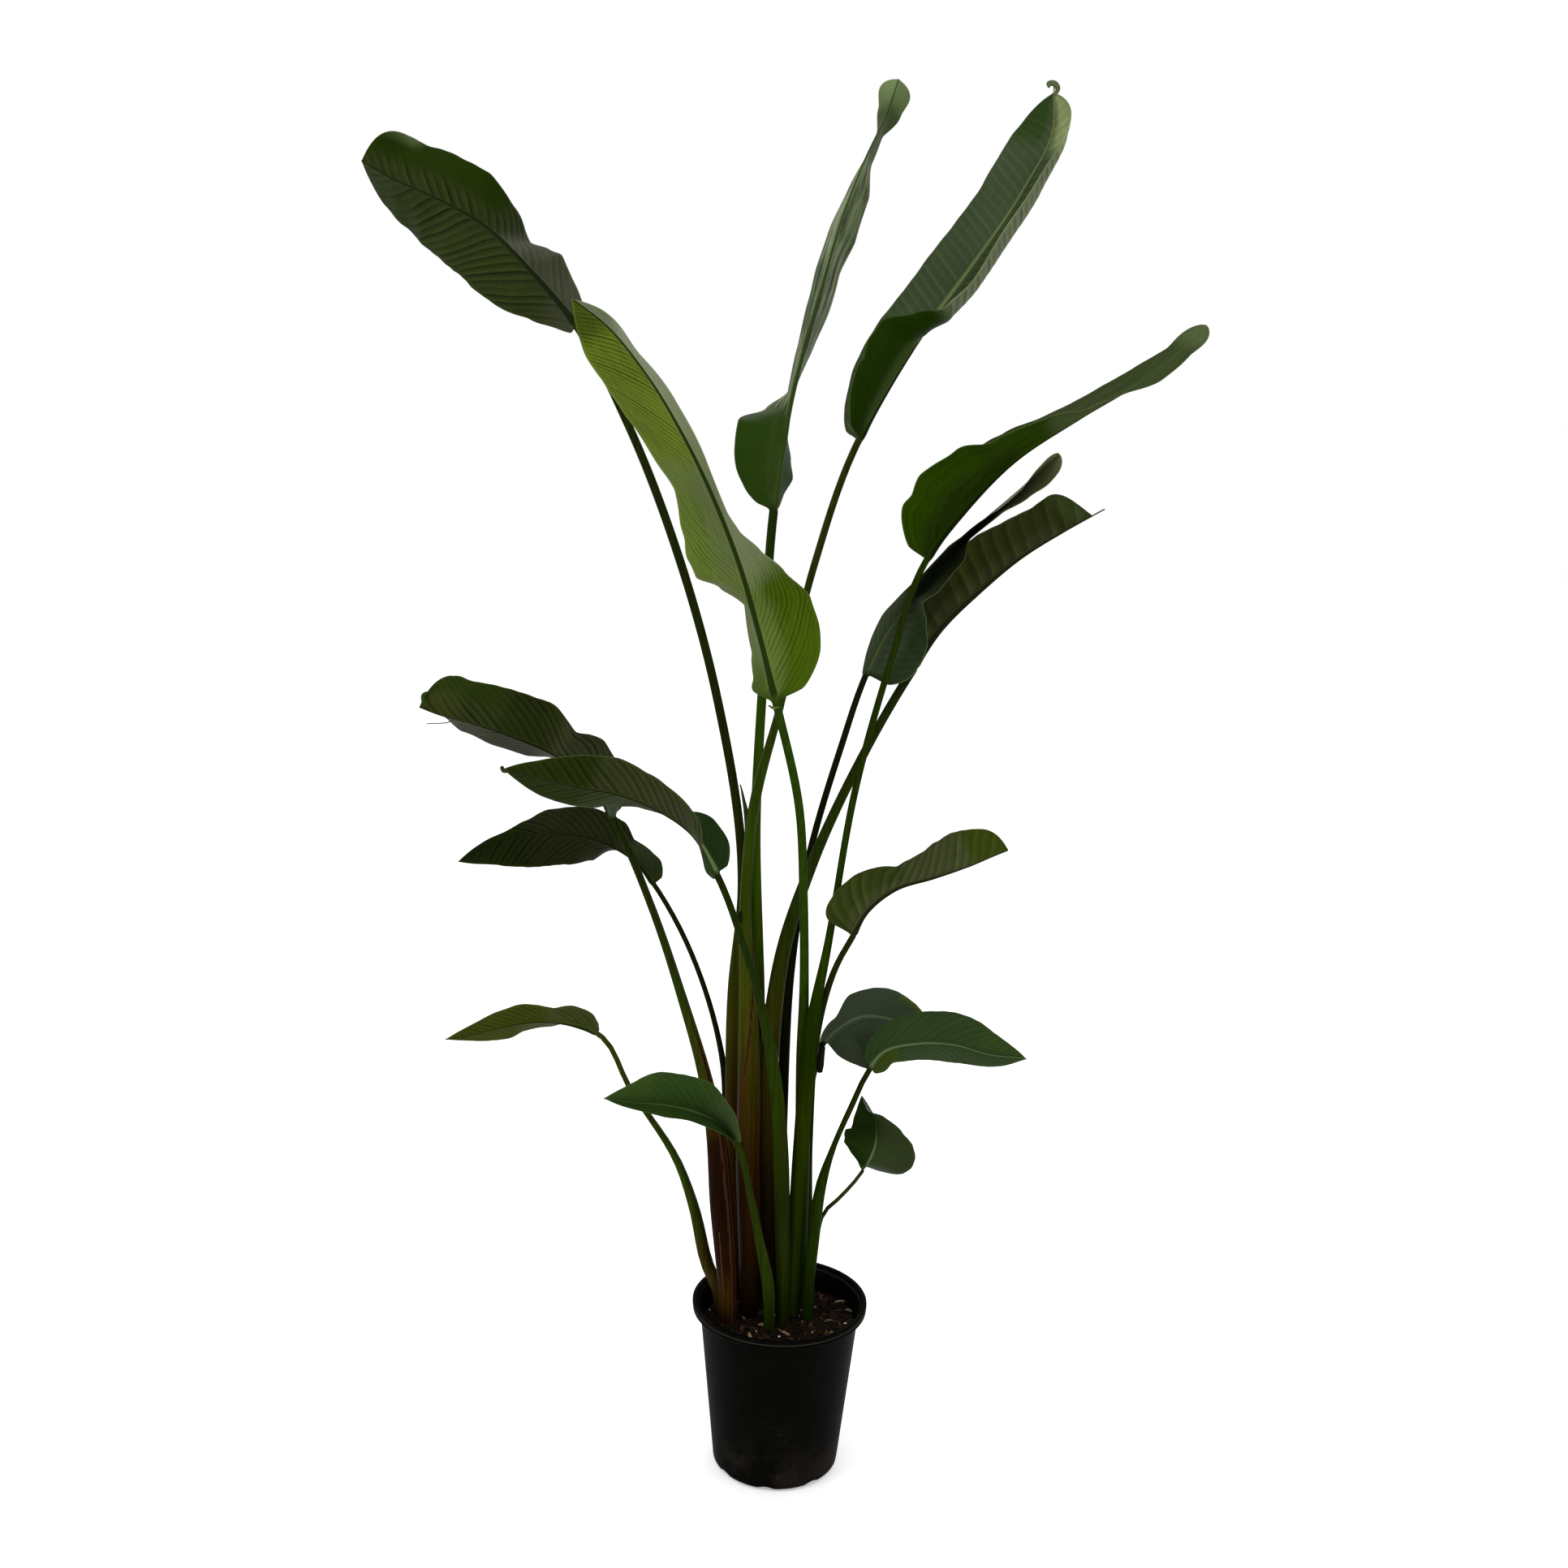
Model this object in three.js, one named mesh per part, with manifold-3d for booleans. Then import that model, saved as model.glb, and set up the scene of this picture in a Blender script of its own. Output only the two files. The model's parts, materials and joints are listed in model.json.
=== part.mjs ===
// A potted bird of paradise: a nursery pot, its soil and sixteen long-stalked leaves.
// Millimetres, +Z up, the pot stands on z = 0 with its axis on the origin, the seen side is -Y.
import * as THREE from 'three';
import Module from 'manifold-3d';

const wasm = await Module();
wasm.setup();

// Driving sizes of the pot and soil.
const POT_HEIGHT = 248;
const RIM_RADIUS = 125;
const LIP_HEIGHT = 14;
const SHOULDER_RADIUS = 114;   // body just under the lip
const BASE_RADIUS = 91;        // body where the foot starts to round in
const FOOT_RADIUS = 80;
const FOOT_RISE = 14;
const POT_WALL = 2.6;
const POT_FLOOR = 4;
const DRAIN_RADIUS = 6;
const DRAIN_CIRCLE = 58;
const DRAIN_COUNT = 6;
const NOTCH_COUNT = 8;         // shallow bites in the rounded foot
const SOIL_TOP = 213;
const SOIL_BUMP = 3.5;
const GAP = 0.4;               // clearance between pieces that touch

// Driving sizes shared by all leaves.
const COLLAR = 222;            // stalks rise straight until here, then start to lean
const STALK_FOOT = 178;        // buried end of each stalk
const STALK_FLAT = 0.85;       // stalk depth against its width
const BLADE = 1.0;             // blade thickness
const ACROSS = 3;              // points from the rib out to each margin
const RING = 4 * ACROSS + 2;   // points in one cross-section
const BLADE_STEPS = [0, 0.015, 0.04, 0.08, 0.13, 0.19, 0.26, 0.33, 0.41, 0.49, 0.57, 0.65,
  0.73, 0.8, 0.86, 0.91, 0.95, 0.98, 1];

// One entry per leaf.
// stalk: x, y, z, half width, from the soil up to the blade. rib: x, y, z from blade foot to tip.
// half: widest reach of the two half blades. widest: where that is along the blade, 0 to 1.
// tip: how blunt the end is. round: below 1 a rounded end. lobe: how far the foot lobes lean
// back. bare: end of the rib without blade. turn: rows of place along the blade, then the angle
// of each half blade about the rib (0 to the right of the growing direction, 90 to the front,
// 180 left, -90 back), then, where it rolls, how far each half curls between rib and margin.
const LEAVES = {
  leaf_upper_left: {
    color: 0x3d4a20,
    stalk: [[-62, 54, 13], [-72, 60, 465, 14], [-76, 62, 690, 12.5], [-70, 57, 830, 8],
      [-113, 54, 1105, 6.2], [-168, 58, 1290, 6], [-245, 68, 1475, 5.6]],
    rib: [[-313, 82, 1595], [-375, 98, 1665], [-450, 115, 1732], [-525, 132, 1770],
      [-580, 145, 1793], [-620, 152, 1815]],
    half: [74, 82], widest: 0.42, tip: 12, round: 0.5, lobe: 0.1, wave: 2,
    turn: [[0, -65, -118], [0.1, -58, -119], [0.2, -58, -131], [0.28, -52, -146],
      [0.33, -60, -152], [0.4, -69, -156], [0.5, -50, -152], [0.6, -30, -150], [0.75, -26, -139],
      [0.85, -28, -124], [0.92, -22, -116], [1, 10, -112]],
  },
  leaf_bright: {
    color: 0x6f8224,
    stalk: [[26, 39, 10.5], [25, 41, 480, 10.5], [21, 35, 600, 9], [20, 10, 705, 6.8],
      [14, -25, 852, 6], [5, -55, 969, 5.8]],
    rib: [[-30, -105, 1119], [-51, -135, 1200], [-87, -180, 1314], [-147, -240, 1444],
      [-184, -280, 1504], [-230, -320, 1557], [-262, -347, 1579]],
    half: [88, 84], widest: 0.18, tip: 6, lobe: 0.45, wave: 3,
    turn: [[0, -35, -125], [0.1, -28, -102], [0.2, -36, -99], [0.25, -57, -117], [0.3, -72, -137],
      [0.35, -82, -138], [0.4, -85, -130], [0.5, -86, -119], [0.6, -86, -127], [0.7, -84, -131],
      [0.8, -84, -131], [0.9, -79, -141], [1, -76, -148]],
  },
  leaf_spire: {
    color: 0x56654a,
    stalk: [[-30, 72, 11.5], [-40, 75, 470, 12], [-46, 74, 700, 9.5], [-55, 62, 930, 7.2],
      [-50, 60, 1150, 6.5]],
    rib: [[-43, 66, 1358], [-35, 74, 1432], [-25, 80, 1502], [-11, 85, 1567], [9, 92, 1643],
      [37, 102, 1750], [66, 108, 1830], [92, 112, 1888], [106, 115, 1932]],
    half: [66, 66], widest: 0.17, tip: 14, round: 0.5, lobe: 0.1, wave: 2,
    turn: [[0, -78, -120], [0.06, -78, -150], [0.1, -72, -165], [0.14, -80, -180],
      [0.19, -88, -182], [0.24, -88, -122], [0.29, -88, -98], [0.4, -80, -98], [0.5, -76, -103],
      [0.58, -76, -106], [0.66, -66, -103], [0.76, -68, -96], [0.84, -84, -93], [0.9, -87, -95],
      [0.95, -66, -112], [1, -30, -150]],
  },
  leaf_upper_right: {
    color: 0x45573a,
    stalk: [[-44, 22, 17], [-52, 26, 465, 20], [-55, 28, 600, 18.5], [-61, 27, 720, 13],
      [-66, 25, 826, 9.5], [-56, 22, 970, 9], [-28, 22, 1089, 6.5], [14, 34, 1290, 6]],
    rib: [[67, 48, 1455], [104, 58, 1526], [158, 72, 1615], [215, 86, 1697], [277, 98, 1794],
      [312, 100, 1871], [310, 95, 1927]],
    half: [74, 78], widest: 0.22, tip: 9, round: 0.8, lobe: 0.15, bare: 0.02, wave: 1.5,
    turn: [[0, 102, 238, 40, 0], [0.1, 105, 234, 60, 0], [0.2, 109, 226, 60, 0],
      [0.26, 105, 222, 75, 0], [0.31, 60, 221, 105, 0], [0.36, 28, 224, 116, 0],
      [0.45, 18, 226, 122, 0], [0.6, 20, 228, 126, 0], [0.7, 22, 228, 120, 0],
      [0.8, 30, 226, 105, 0], [0.88, 32, 220, 90, 0], [1, 10, 208, 60, 0]],
  },
  leaf_right_high: {
    color: 0x37481d,
    stalk: [[18, 12, 11.5], [24, 13, 480, 13.5], [30, 6, 603, 13.5], [37, 0, 690, 10],
      [48, -3, 760, 7.5], [82, -14, 1009, 6], [121, -20, 1175, 5.5]],
    rib: [[159, -26, 1302], [205, -30, 1367], [264, -36, 1432], [346, -44, 1490],
      [418, -50, 1536], [463, -54, 1573], [496, -56, 1608]],
    half: [80, 82], widest: 0.18, tip: 4.4, round: 0.6, lobe: 0.25, wave: 2,
    turn: [[0, 135, 225], [0.1, 160, 234], [0.2, 154, 232], [0.3, 136, 236], [0.36, 121, 242],
      [0.4, 117, 246], [0.5, 108, 254], [0.6, 94, 255], [0.7, 91, 254], [0.8, 83, 257],
      [0.9, 80, 259], [1, 60, 240]],
  },
  leaf_right_back: {
    color: 0x2c3426,
    stalk: [[0, 80, 8], [-4, 90, 500, 8.5], [0, 97, 705, 7.5], [23, 99, 880, 5.2],
      [63, 94, 1040, 4.8]],
    rib: [[92, 88, 1138], [118, 84, 1198], [150, 82, 1245], [190, 84, 1299], [239, 90, 1350],
      [296, 98, 1402], [347, 106, 1451]],
    half: [64, 50], widest: 0.15, tip: 5, round: 0.6, lobe: 0.3, wave: 2,
    turn: [[0, 30, 106], [0.05, 20, 108], [0.1, 15, 110], [0.16, 15, 112], [0.22, 32, 115],
      [0.28, 62, 113], [0.32, 84, 112], [0.38, 76, 108], [0.5, 74, 104], [0.56, 88, 98],
      [0.7, 88, 93], [0.8, 78, 95], [0.9, 63, 103], [1, 50, 114]],
  },
  leaf_right_dark: {
    color: 0x37361d,
    stalk: [[-14, 44, 11.5], [-23, 48, 420, 12.5], [-25, 52, 620, 13.5], [-9, 58, 755, 10.5],
      [28, 66, 877, 8], [81, 88, 1000, 6.8]],
    rib: [[161, 125, 1146], [196, 138, 1199], [254, 158, 1257], [313, 178, 1306],
      [381, 200, 1348], [436, 218, 1379]],
    half: [60, 72], widest: 0.35, tip: 30, round: 0.6, lobe: 0.1, bare: 0.06, wave: 2,
    turn: [[0, -95, -125], [0.2, -95, -140], [0.3, -95, -154], [0.5, -94, -149],
      [0.65, -94, -139], [0.8, -95, -134], [0.9, -96, -137], [1, -97, -139]],
  },
  leaf_left_top: {
    color: 0x3a3f1f,
    stalk: [[-74, -10, 15], [-88, -2, 400, 19], [-99, 4, 500, 15.5], [-114, 12, 568, 11.5],
      [-149, 14, 683, 8], [-194, 10, 815, 6.2]],
    rib: [[-249, 5, 941], [-279, 0, 993], [-326, -8, 1028], [-374, -16, 1049], [-429, -26, 1068],
      [-480, -34, 1082], [-503, -37, 1091]],
    half: [72, 66], widest: 0.42, tip: 8.5, round: 0.5, lobe: 0.2, wave: 1.5,
    turn: [[0, 75, -45], [0.12, 50, -60], [0.2, 36, -80], [0.28, 30, -98], [0.38, 46, -108],
      [0.5, 22, -116], [0.65, 24, -120], [0.8, 32, -112], [0.9, 22, -100], [1, 0, -95]],
  },
  leaf_left_middle: {
    color: 0x353d1c,
    stalk: [[4, -12, 9.5], [0, -12, 360, 11.5], [-5, -13, 460, 12], [-15, -18, 571, 10],
      [-40, -34, 698, 6.5], [-66, -47, 785, 5.2]],
    rib: [[-102, -66, 882], [-136, -80, 941], [-182, -98, 975], [-223, -115, 994],
      [-280, -140, 1008], [-333, -165, 1024], [-366, -180, 1035]],
    half: [56, 50], widest: 0.35, tip: 3.2, lobe: 0.35, wave: 2,
    turn: [[0, 100, -10], [0.08, 100, -20], [0.17, 88, -50], [0.28, 60, -106], [0.4, 47, -110],
      [0.5, 34, -121], [0.6, 20, -134], [0.75, 15, -137], [0.9, 15, -142], [1, 0, -142]],
  },
  leaf_left_low_arch: {
    color: 0x2c331a,
    stalk: [[-50, 80, 6.5], [-84, 88, 455, 7], [-95, 92, 575, 5.5], [-125, 90, 685, 4.8],
      [-172, 84, 790, 4.6]],
    rib: [[-197, 80, 831], [-225, 72, 868], [-266, 60, 894], [-309, 44, 908], [-360, 22, 912],
      [-411, -4, 903], [-455, -25, 880]],
    half: [51, 50], widest: 0.35, tip: 3.6, lobe: 0.2, wave: 2,
    turn: [[0, 25, -40], [0.1, 28, -60], [0.15, 40, -70], [0.24, 50, -114], [0.3, 30, -140],
      [0.45, 20, -164], [0.6, 38, -178], [0.7, 56, -180], [0.8, 66, -182], [0.9, 68, -180],
      [1, 66, -180]],
  },
  leaf_left_front: {
    color: 0x3d4a1c,
    stalk: [[-87, 26, 9.5], [-110, 30, 290, 10.5], [-128, 34, 366, 9], [-148, 34, 424, 7],
      [-223, 24, 549, 4.5]],
    rib: [[-268, 18, 628], [-298, 12, 641], [-342, 4, 649], [-391, -6, 644], [-435, -15, 634],
      [-474, -22, 627]],
    half: [36, 32], widest: 0.28, tip: 2.1, lobe: 0.2, wave: 1.5,
    turn: [[0, 50, -30], [0.1, 15, -60], [0.2, 24, -108], [0.32, 40, -120], [0.5, 20, -132],
      [0.6, 24, -148], [0.8, 18, -152], [1, 15, -148]],
  },
  leaf_left_small: {
    color: 0x2f4a2b,
    stalk: [[-14, -30, 8], [-18, -30, 289, 9], [-28, -30, 333, 7], [-45, -28, 410, 5]],
    rib: [[-69, -34, 496], [-93, -42, 526], [-127, -52, 545], [-168, -62, 557],
      [-209, -72, 563], [-247, -80, 571]],
    half: [54, 32], widest: 0.45, tip: 2.4, lobe: 0.2, wave: 1.5,
    turn: [[0, 65, 85], [0.12, 56, 87], [0.25, 38, 91], [0.4, 14, 95], [0.7, 5, 96], [1, 10, 95]],
  },
  leaf_right_middle: {
    color: 0x3b4a20,
    stalk: [[42, 60, 6], [35, 62, 470, 6], [38, 50, 596, 5.6], [48, 25, 680, 5.2],
      [64, -8, 748, 4.6]],
    rib: [[83, -38, 797], [98, -43, 829], [136, -46, 864], [189, -54, 885], [236, -60, 905],
      [262, -65, 919], [282, -68, 929]],
    half: [44, 50], widest: 0.12, tip: 14, round: 0.5, lobe: 0.3, wave: 1.5,
    turn: [[0, -80, -155], [0.08, -85, -175], [0.22, -90, -152], [0.32, -92, -130],
      [0.39, -92, -113], [0.44, -92, -117], [0.55, -92, -126], [0.65, -90, -144],
      [0.76, -90, -170], [0.9, -90, -188], [1, -90, -190]],
  },
  leaf_right_low_back: {
    color: 0x2a3a2e,
    stalk: [[32, 76, 6], [30, 78, 467, 6], [39, 73, 560, 5.6]],
    rib: [[52, 68, 610], [73, 70, 632], [106, 76, 647], [144, 84, 643], [181, 92, 624],
      [206, 98, 601]],
    half: [78, 54], widest: 0.35, tip: 2.4, lobe: 0.35, wave: 1.5,
    turn: [[0, 5, 112], [0.2, 5, 122], [0.32, 15, 150], [0.5, 25, 158], [1, 25, 158]],
  },
  leaf_right_low_front: {
    color: 0x2f4b30,
    stalk: [[40, 0, 8.5], [46, 2, 340, 9.5], [55, 6, 425, 8], [66, 10, 464, 5],
      [93, 8, 538, 4.4]],
    rib: [[116, 4, 594], [133, 0, 619], [177, -8, 636], [229, -18, 640], [279, -28, 631],
      [328, -36, 630]],
    half: [46, 47], widest: 0.42, tip: 2.6, lobe: 0.25, wave: 1.5,
    turn: [[0, 64, 225], [0.1, 66, 228], [0.15, 72, 230], [0.22, 84, 228], [0.3, 82, 222],
      [0.4, 80, 216], [0.5, 80, 210], [0.7, 76, 212], [0.88, 78, 210], [1, 80, 200]],
  },
  leaf_right_bottom: {
    color: 0x28361f,
    stalk: [[48, 24, 3.6], [51, 24, 330, 3.6], [60, 20, 370, 3.5], [82, 8, 400, 3.3]],
    rib: [[112, 6, 441], [124, 14, 461], [131, 26, 482], [130, 40, 502], [120, 52, 519],
      [109, 60, 533]],
    half: [60, 48], widest: 0.25, tip: 3, lobe: 0, wave: 1.5,
    turn: [[0, -80, 110], [0.06, -72, 125], [0.12, -50, 152], [0.2, -16, 168], [0.28, 0, 170],
      [0.33, 14, 172], [0.38, 34, 174], [0.45, 60, 175], [0.55, 78, 176], [0.7, 86, 177],
      [1, 90, 178]],
  },
};

const clamp = THREE.MathUtils.clamp;
const mix = THREE.MathUtils.lerp;
const ease = (u) => THREE.MathUtils.smoothstep(u, 0, 1);
const vec = (x, y, z) => new THREE.Vector3(x, y, z);

// A smooth course through rows of x, y, z, half width, measured by its length.
function courseThrough(rows) {
  const marks = [0];
  for (let i = 1; i < rows.length; i++) {
    const step = vec(...rows[i].slice(0, 3)).distanceTo(vec(...rows[i - 1].slice(0, 3)));
    marks.push(marks[i - 1] + step);
  }
  const pace = rows.slice(1).map((row, i) =>
    row.map((value, c) => (value - rows[i][c]) / (marks[i + 1] - marks[i])));
  const slope = rows.map((row, i) => {
    if (i === 0) return [0, 0, 1, 0];
    if (i === rows.length - 1) return pace[i - 1];
    const before = marks[i] - marks[i - 1];
    const after = marks[i + 1] - marks[i];
    return row.map((_, c) => (after * pace[i - 1][c] + before * pace[i][c]) / (before + after));
  });
  const at = (s) => {
    let i = 0;
    while (i < rows.length - 2 && s >= marks[i + 1]) i++;
    const h = marks[i + 1] - marks[i];
    const u = (s - marks[i]) / h;
    return rows[i].map((a, c) => a * (2 * u ** 3 - 3 * u * u + 1)
      + slope[i][c] * h * (u ** 3 - 2 * u * u + u)
      + rows[i + 1][c] * (3 * u * u - 2 * u ** 3)
      + slope[i + 1][c] * h * (u ** 3 - u * u));
  };
  const heading = (s) => {
    if (s < 1e-6) return vec(0, 0, 1);
    const a = at(Math.max(0, s - 0.5));
    const b = at(Math.min(marks.at(-1), s + 0.5));
    return vec(b[0] - a[0], b[1] - a[1], b[2] - a[2]).normalize();
  };
  return { marks, at, heading };
}

// Angles and curls of the two half blades at a place along the blade.
function turnAt(rows, t) {
  const full = rows.map((row) => [...row, 0, 0].slice(0, 5));
  if (t <= 0) return full[0].slice(1);
  const i = full.findIndex((row, k) => k > 0 && t <= row[0]);
  if (i < 0) return full.at(-1).slice(1);
  const u = (t - full[i - 1][0]) / (full[i][0] - full[i - 1][0]);
  const soft = 0.5 * (u + ease(u));
  return full[i].slice(1).map((value, c) => mix(full[i - 1][c + 1], value, soft));
}

// Share of the full half width at a place along the blade: round foot, long sides, set tip.
function bladeOutline(t, { widest, tip, round = 1 }) {
  if (t < widest) return (1 - ((widest - t) / widest) ** 2.4) ** 0.6;
  return Math.max(0, 1 - ((t - widest) / (1 - widest)) ** tip) ** round;
}

// Two directions square to the heading: away from the viewer, and to the right of the heading.
function sideways(heading) {
  const away = vec(0, 1, 0).addScaledVector(heading, -heading.y).normalize();
  const right = new THREE.Vector3().crossVectors(away, heading);
  return (degrees) => {
    const a = THREE.MathUtils.degToRad(degrees);
    return right.clone().multiplyScalar(Math.cos(a)).addScaledVector(away, -Math.sin(a));
  };
}

// Round stalk section; its points match the blade section's points one to one.
function stalkRing(centre, across, up, halfWidth) {
  return Array.from({ length: RING }, (_, i) => {
    const a = (2 * Math.PI * (i + 0.5)) / RING;
    return centre.clone().addScaledVector(across, Math.cos(a) * halfWidth)
      .addScaledVector(up, Math.sin(a) * halfWidth * STALK_FLAT);
  });
}

// Blade section: upper face from margin to margin, then the under face back, with the rib.
function bladeRing(leaf, centre, heading, toward, t, ribRadius, angles, order) {
  const [angleA, angleB, curlA, curlB] = angles;
  const sign = angleB > angleA ? 1 : -1;
  const upAngle = (angleA + angleB) / 2;
  const bladeT = Math.min(1, t / (1 - (leaf.bare ?? 0)));
  const share = bladeOutline(bladeT, leaf);
  const lean = leaf.lobe * Math.exp(-t / 0.12) * share;
  const half = (angle, curl, side, reach, phase) => {
    const width = Math.max(ribRadius * 1.05, reach * share);
    const points = [];
    let spot = vec(0, 0, 0);
    let last = 0;
    for (let j = 0; j < ACROSS; j++) {
      const out = mix(ribRadius, width, j / (ACROSS - 1));
      const a = angle + (side * curl * (out + last)) / 2 / width;
      spot = spot.clone().addScaledVector(toward(a), out - last);
      const face = toward(a + 90 * side);
      const part = out / width;
      const ripple = leaf.wave * share * part ** 2 * Math.sin(17 * t + phase + order);
      const place = centre.clone().add(spot).addScaledVector(face, ripple)
        .addScaledVector(heading, -lean * reach * part ** 1.6);
      points.push({ place, face, under: j === 0 ? ribRadius * 0.45 : 0 });
      last = out;
    }
    return points;
  };
  const a = half(angleA, curlA, sign, leaf.half[0], 0);
  const b = half(angleB, curlB, -sign, leaf.half[1], 2.1);
  const upper = ({ place, face }) => place.clone().addScaledVector(face, BLADE / 2);
  const lower = ({ place, face, under }) =>
    place.clone().addScaledVector(face, -BLADE / 2 - under);
  const top = toward(upAngle);
  return [
    ...[...a].reverse().map(upper), centre.clone().addScaledVector(top, BLADE / 2),
    ...b.map(upper),
    ...[...b].reverse().map(lower),
    centre.clone().addScaledVector(top, -BLADE / 2 - ribRadius * 1.3),
    ...a.map(lower),
  ];
}

// All cross-sections of one leaf, from the buried foot to the tip of the blade.
function leafRings(leaf, order) {
  const [footX, footY, footWidth] = leaf.stalk[0];
  const rows = [[footX, footY, COLLAR, footWidth], ...leaf.stalk.slice(1)];
  const neck = rows.at(-1)[3] * 0.95;
  const course = courseThrough([...rows, ...leaf.rib.map((point) => [...point, neck])]);
  const bladeStart = course.marks[rows.length];
  const end = course.marks.at(-1);
  const first = turnAt(leaf.turn, 0);
  const sign = first[1] > first[0] ? 1 : -1;
  const round = (s) => {
    const [x, y, z, width] = course.at(s);
    const toward = sideways(course.heading(s));
    const up = (first[0] + first[1]) / 2;
    return stalkRing(vec(x, y, z), toward(up - 90 * sign), toward(up), width);
  };
  const rings = [round(0).map((p) => p.clone().setZ(STALK_FOOT))];
  for (let i = 0; i < rows.length; i++) {
    rings.push(round(course.marks[i]));
    rings.push(round((course.marks[i] + course.marks[i + 1]) / 2));
  }
  for (const t of BLADE_STEPS) {
    const s = mix(bladeStart, end, t);
    const [x, y, z] = course.at(s);
    const heading = course.heading(s);
    const ribRadius = Math.max(0.7, neck * (0.6 * (1 - t) + 0.4 * Math.exp(-t / 0.04)));
    const blade = bladeRing(leaf, vec(x, y, z), heading, sideways(heading), t, ribRadius,
      turnAt(leaf.turn, t), order);
    const blend = ease(t / 0.03);
    rings.push(round(s).map((p, i) => p.lerp(blade[i], blend)));
  }
  return rings;
}

// Skin over the rings; both blade faces are split along the same diagonals.
function skin(rings) {
  const faces = [];
  const id = (ring, i) => ring * RING + (i % RING);
  const half = 2 * ACROSS;
  for (let r = 0; r < rings.length - 1; r++) {
    for (let i = 0; i < RING; i++) {
      const [p, q, v, w] = [id(r, i), id(r, i + 1), id(r + 1, i + 1), id(r + 1, i)];
      if (i > half && i < RING - 1) faces.push([p, q, w], [q, v, w]);
      else faces.push([p, q, v], [p, v, w]);
    }
  }
  for (let i = 0; i < half; i++) {
    const far = RING - 1 - i;
    const last = rings.length - 1;
    faces.push([id(0, i), id(0, far), id(0, far - 1)], [id(0, i), id(0, far - 1), id(0, i + 1)]);
    faces.push([id(last, i), id(last, i + 1), id(last, far - 1)],
      [id(last, i), id(last, far - 1), id(last, far)]);
  }
  return solidFrom(rings.flat(), faces);
}

// Indexed geometry with its faces turned outward.
function solidFrom(points, faces) {
  let volume = 0;
  for (const [a, b, c] of faces) {
    volume += points[a].dot(new THREE.Vector3().crossVectors(points[b], points[c]));
  }
  const turned = volume < 0 ? faces.map(([a, b, c]) => [a, c, b]) : faces;
  const geometry = new THREE.BufferGeometry().setFromPoints(points);
  geometry.setIndex(turned.flat());
  return geometry;
}

function toManifold(geometry) {
  return new wasm.Manifold(new wasm.Mesh({
    numProp: 3,
    vertProperties: new Float32Array(geometry.getAttribute('position').array),
    triVerts: new Uint32Array(geometry.index.array),
  }));
}

function fromManifold(solid) {
  const mesh = solid.getMesh();
  const geometry = new THREE.BufferGeometry();
  geometry.setAttribute('position', new THREE.BufferAttribute(
    new Float32Array(mesh.vertProperties), 3));
  geometry.setIndex([...mesh.triVerts]);
  return geometry;
}

// Solid of revolution from an outline of radius, height that starts and ends on the axis.
function turned(outline, segments) {
  const inner = outline.slice(1, -1);
  const points = [vec(0, 0, outline[0][1])];
  for (const [radius, height] of inner) {
    for (let k = 0; k < segments; k++) {
      const a = (2 * Math.PI * k) / segments;
      points.push(vec(radius * Math.cos(a), radius * Math.sin(a), height));
    }
  }
  points.push(vec(0, 0, outline.at(-1)[1]));
  const id = (row, k) => 1 + row * segments + (k % segments);
  const faces = [];
  for (let k = 0; k < segments; k++) {
    faces.push([0, id(0, k + 1), id(0, k)]);
    for (let row = 0; row < inner.length - 1; row++) {
      faces.push([id(row, k), id(row, k + 1), id(row + 1, k + 1)]);
      faces.push([id(row, k), id(row + 1, k + 1), id(row + 1, k)]);
    }
    faces.push([id(inner.length - 1, k), id(inner.length - 1, k + 1), points.length - 1]);
  }
  return solidFrom(points, faces);
}

const wallRadius = (z) => mix(BASE_RADIUS, SHOULDER_RADIUS,
  (z - FOOT_RISE) / (POT_HEIGHT - LIP_HEIGHT - FOOT_RISE));

// Pot: rounded foot, tapering wall and a rolled lip with one groove.
function potOutline() {
  const lip = POT_HEIGHT - LIP_HEIGHT;
  const outline = [[0, 0], [FOOT_RADIUS, 0]];
  for (let i = 1; i <= 4; i++) {
    const a = (Math.PI / 2) * (i / 4);
    outline.push([FOOT_RADIUS + (BASE_RADIUS - FOOT_RADIUS) * Math.sin(a),
      FOOT_RISE * (1 - Math.cos(a))]);
  }
  outline.push([SHOULDER_RADIUS, lip], [RIM_RADIUS - 2.5, lip], [RIM_RADIUS - 0.6, lip + 1.8],
    [RIM_RADIUS - 0.6, lip + 5], [RIM_RADIUS - 1.8, lip + 6], [RIM_RADIUS, lip + 7.2],
    [RIM_RADIUS, POT_HEIGHT - 2], [RIM_RADIUS - 1.5, POT_HEIGHT],
    [RIM_RADIUS - 4.5, POT_HEIGHT], [RIM_RADIUS - 6, POT_HEIGHT - 2],
    [SHOULDER_RADIUS - POT_WALL, lip - 4],
    [BASE_RADIUS - POT_WALL, FOOT_RISE], [FOOT_RADIUS - 1, POT_FLOOR], [0, POT_FLOOR]);
  return outline;
}

function makePot() {
  let pot = toManifold(turned(potOutline(), 40));
  for (let k = 0; k < DRAIN_COUNT; k++) {
    const a = (2 * Math.PI * (k + 0.5)) / DRAIN_COUNT;
    const drill = wasm.Manifold.cylinder(POT_FLOOR + 4, DRAIN_RADIUS, DRAIN_RADIUS, 16)
      .translate([DRAIN_CIRCLE * Math.cos(a), DRAIN_CIRCLE * Math.sin(a), -2]);
    pot = pot.subtract(drill);
  }
  for (let k = 0; k < NOTCH_COUNT; k++) {
    const a = (2 * Math.PI * (k + 0.25)) / NOTCH_COUNT;
    const bite = wasm.Manifold.sphere(9, 16)
      .translate([(FOOT_RADIUS + 13) * Math.cos(a), (FOOT_RADIUS + 13) * Math.sin(a), -0.6]);
    pot = pot.subtract(bite);
  }
  return fromManifold(pot);
}

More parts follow.
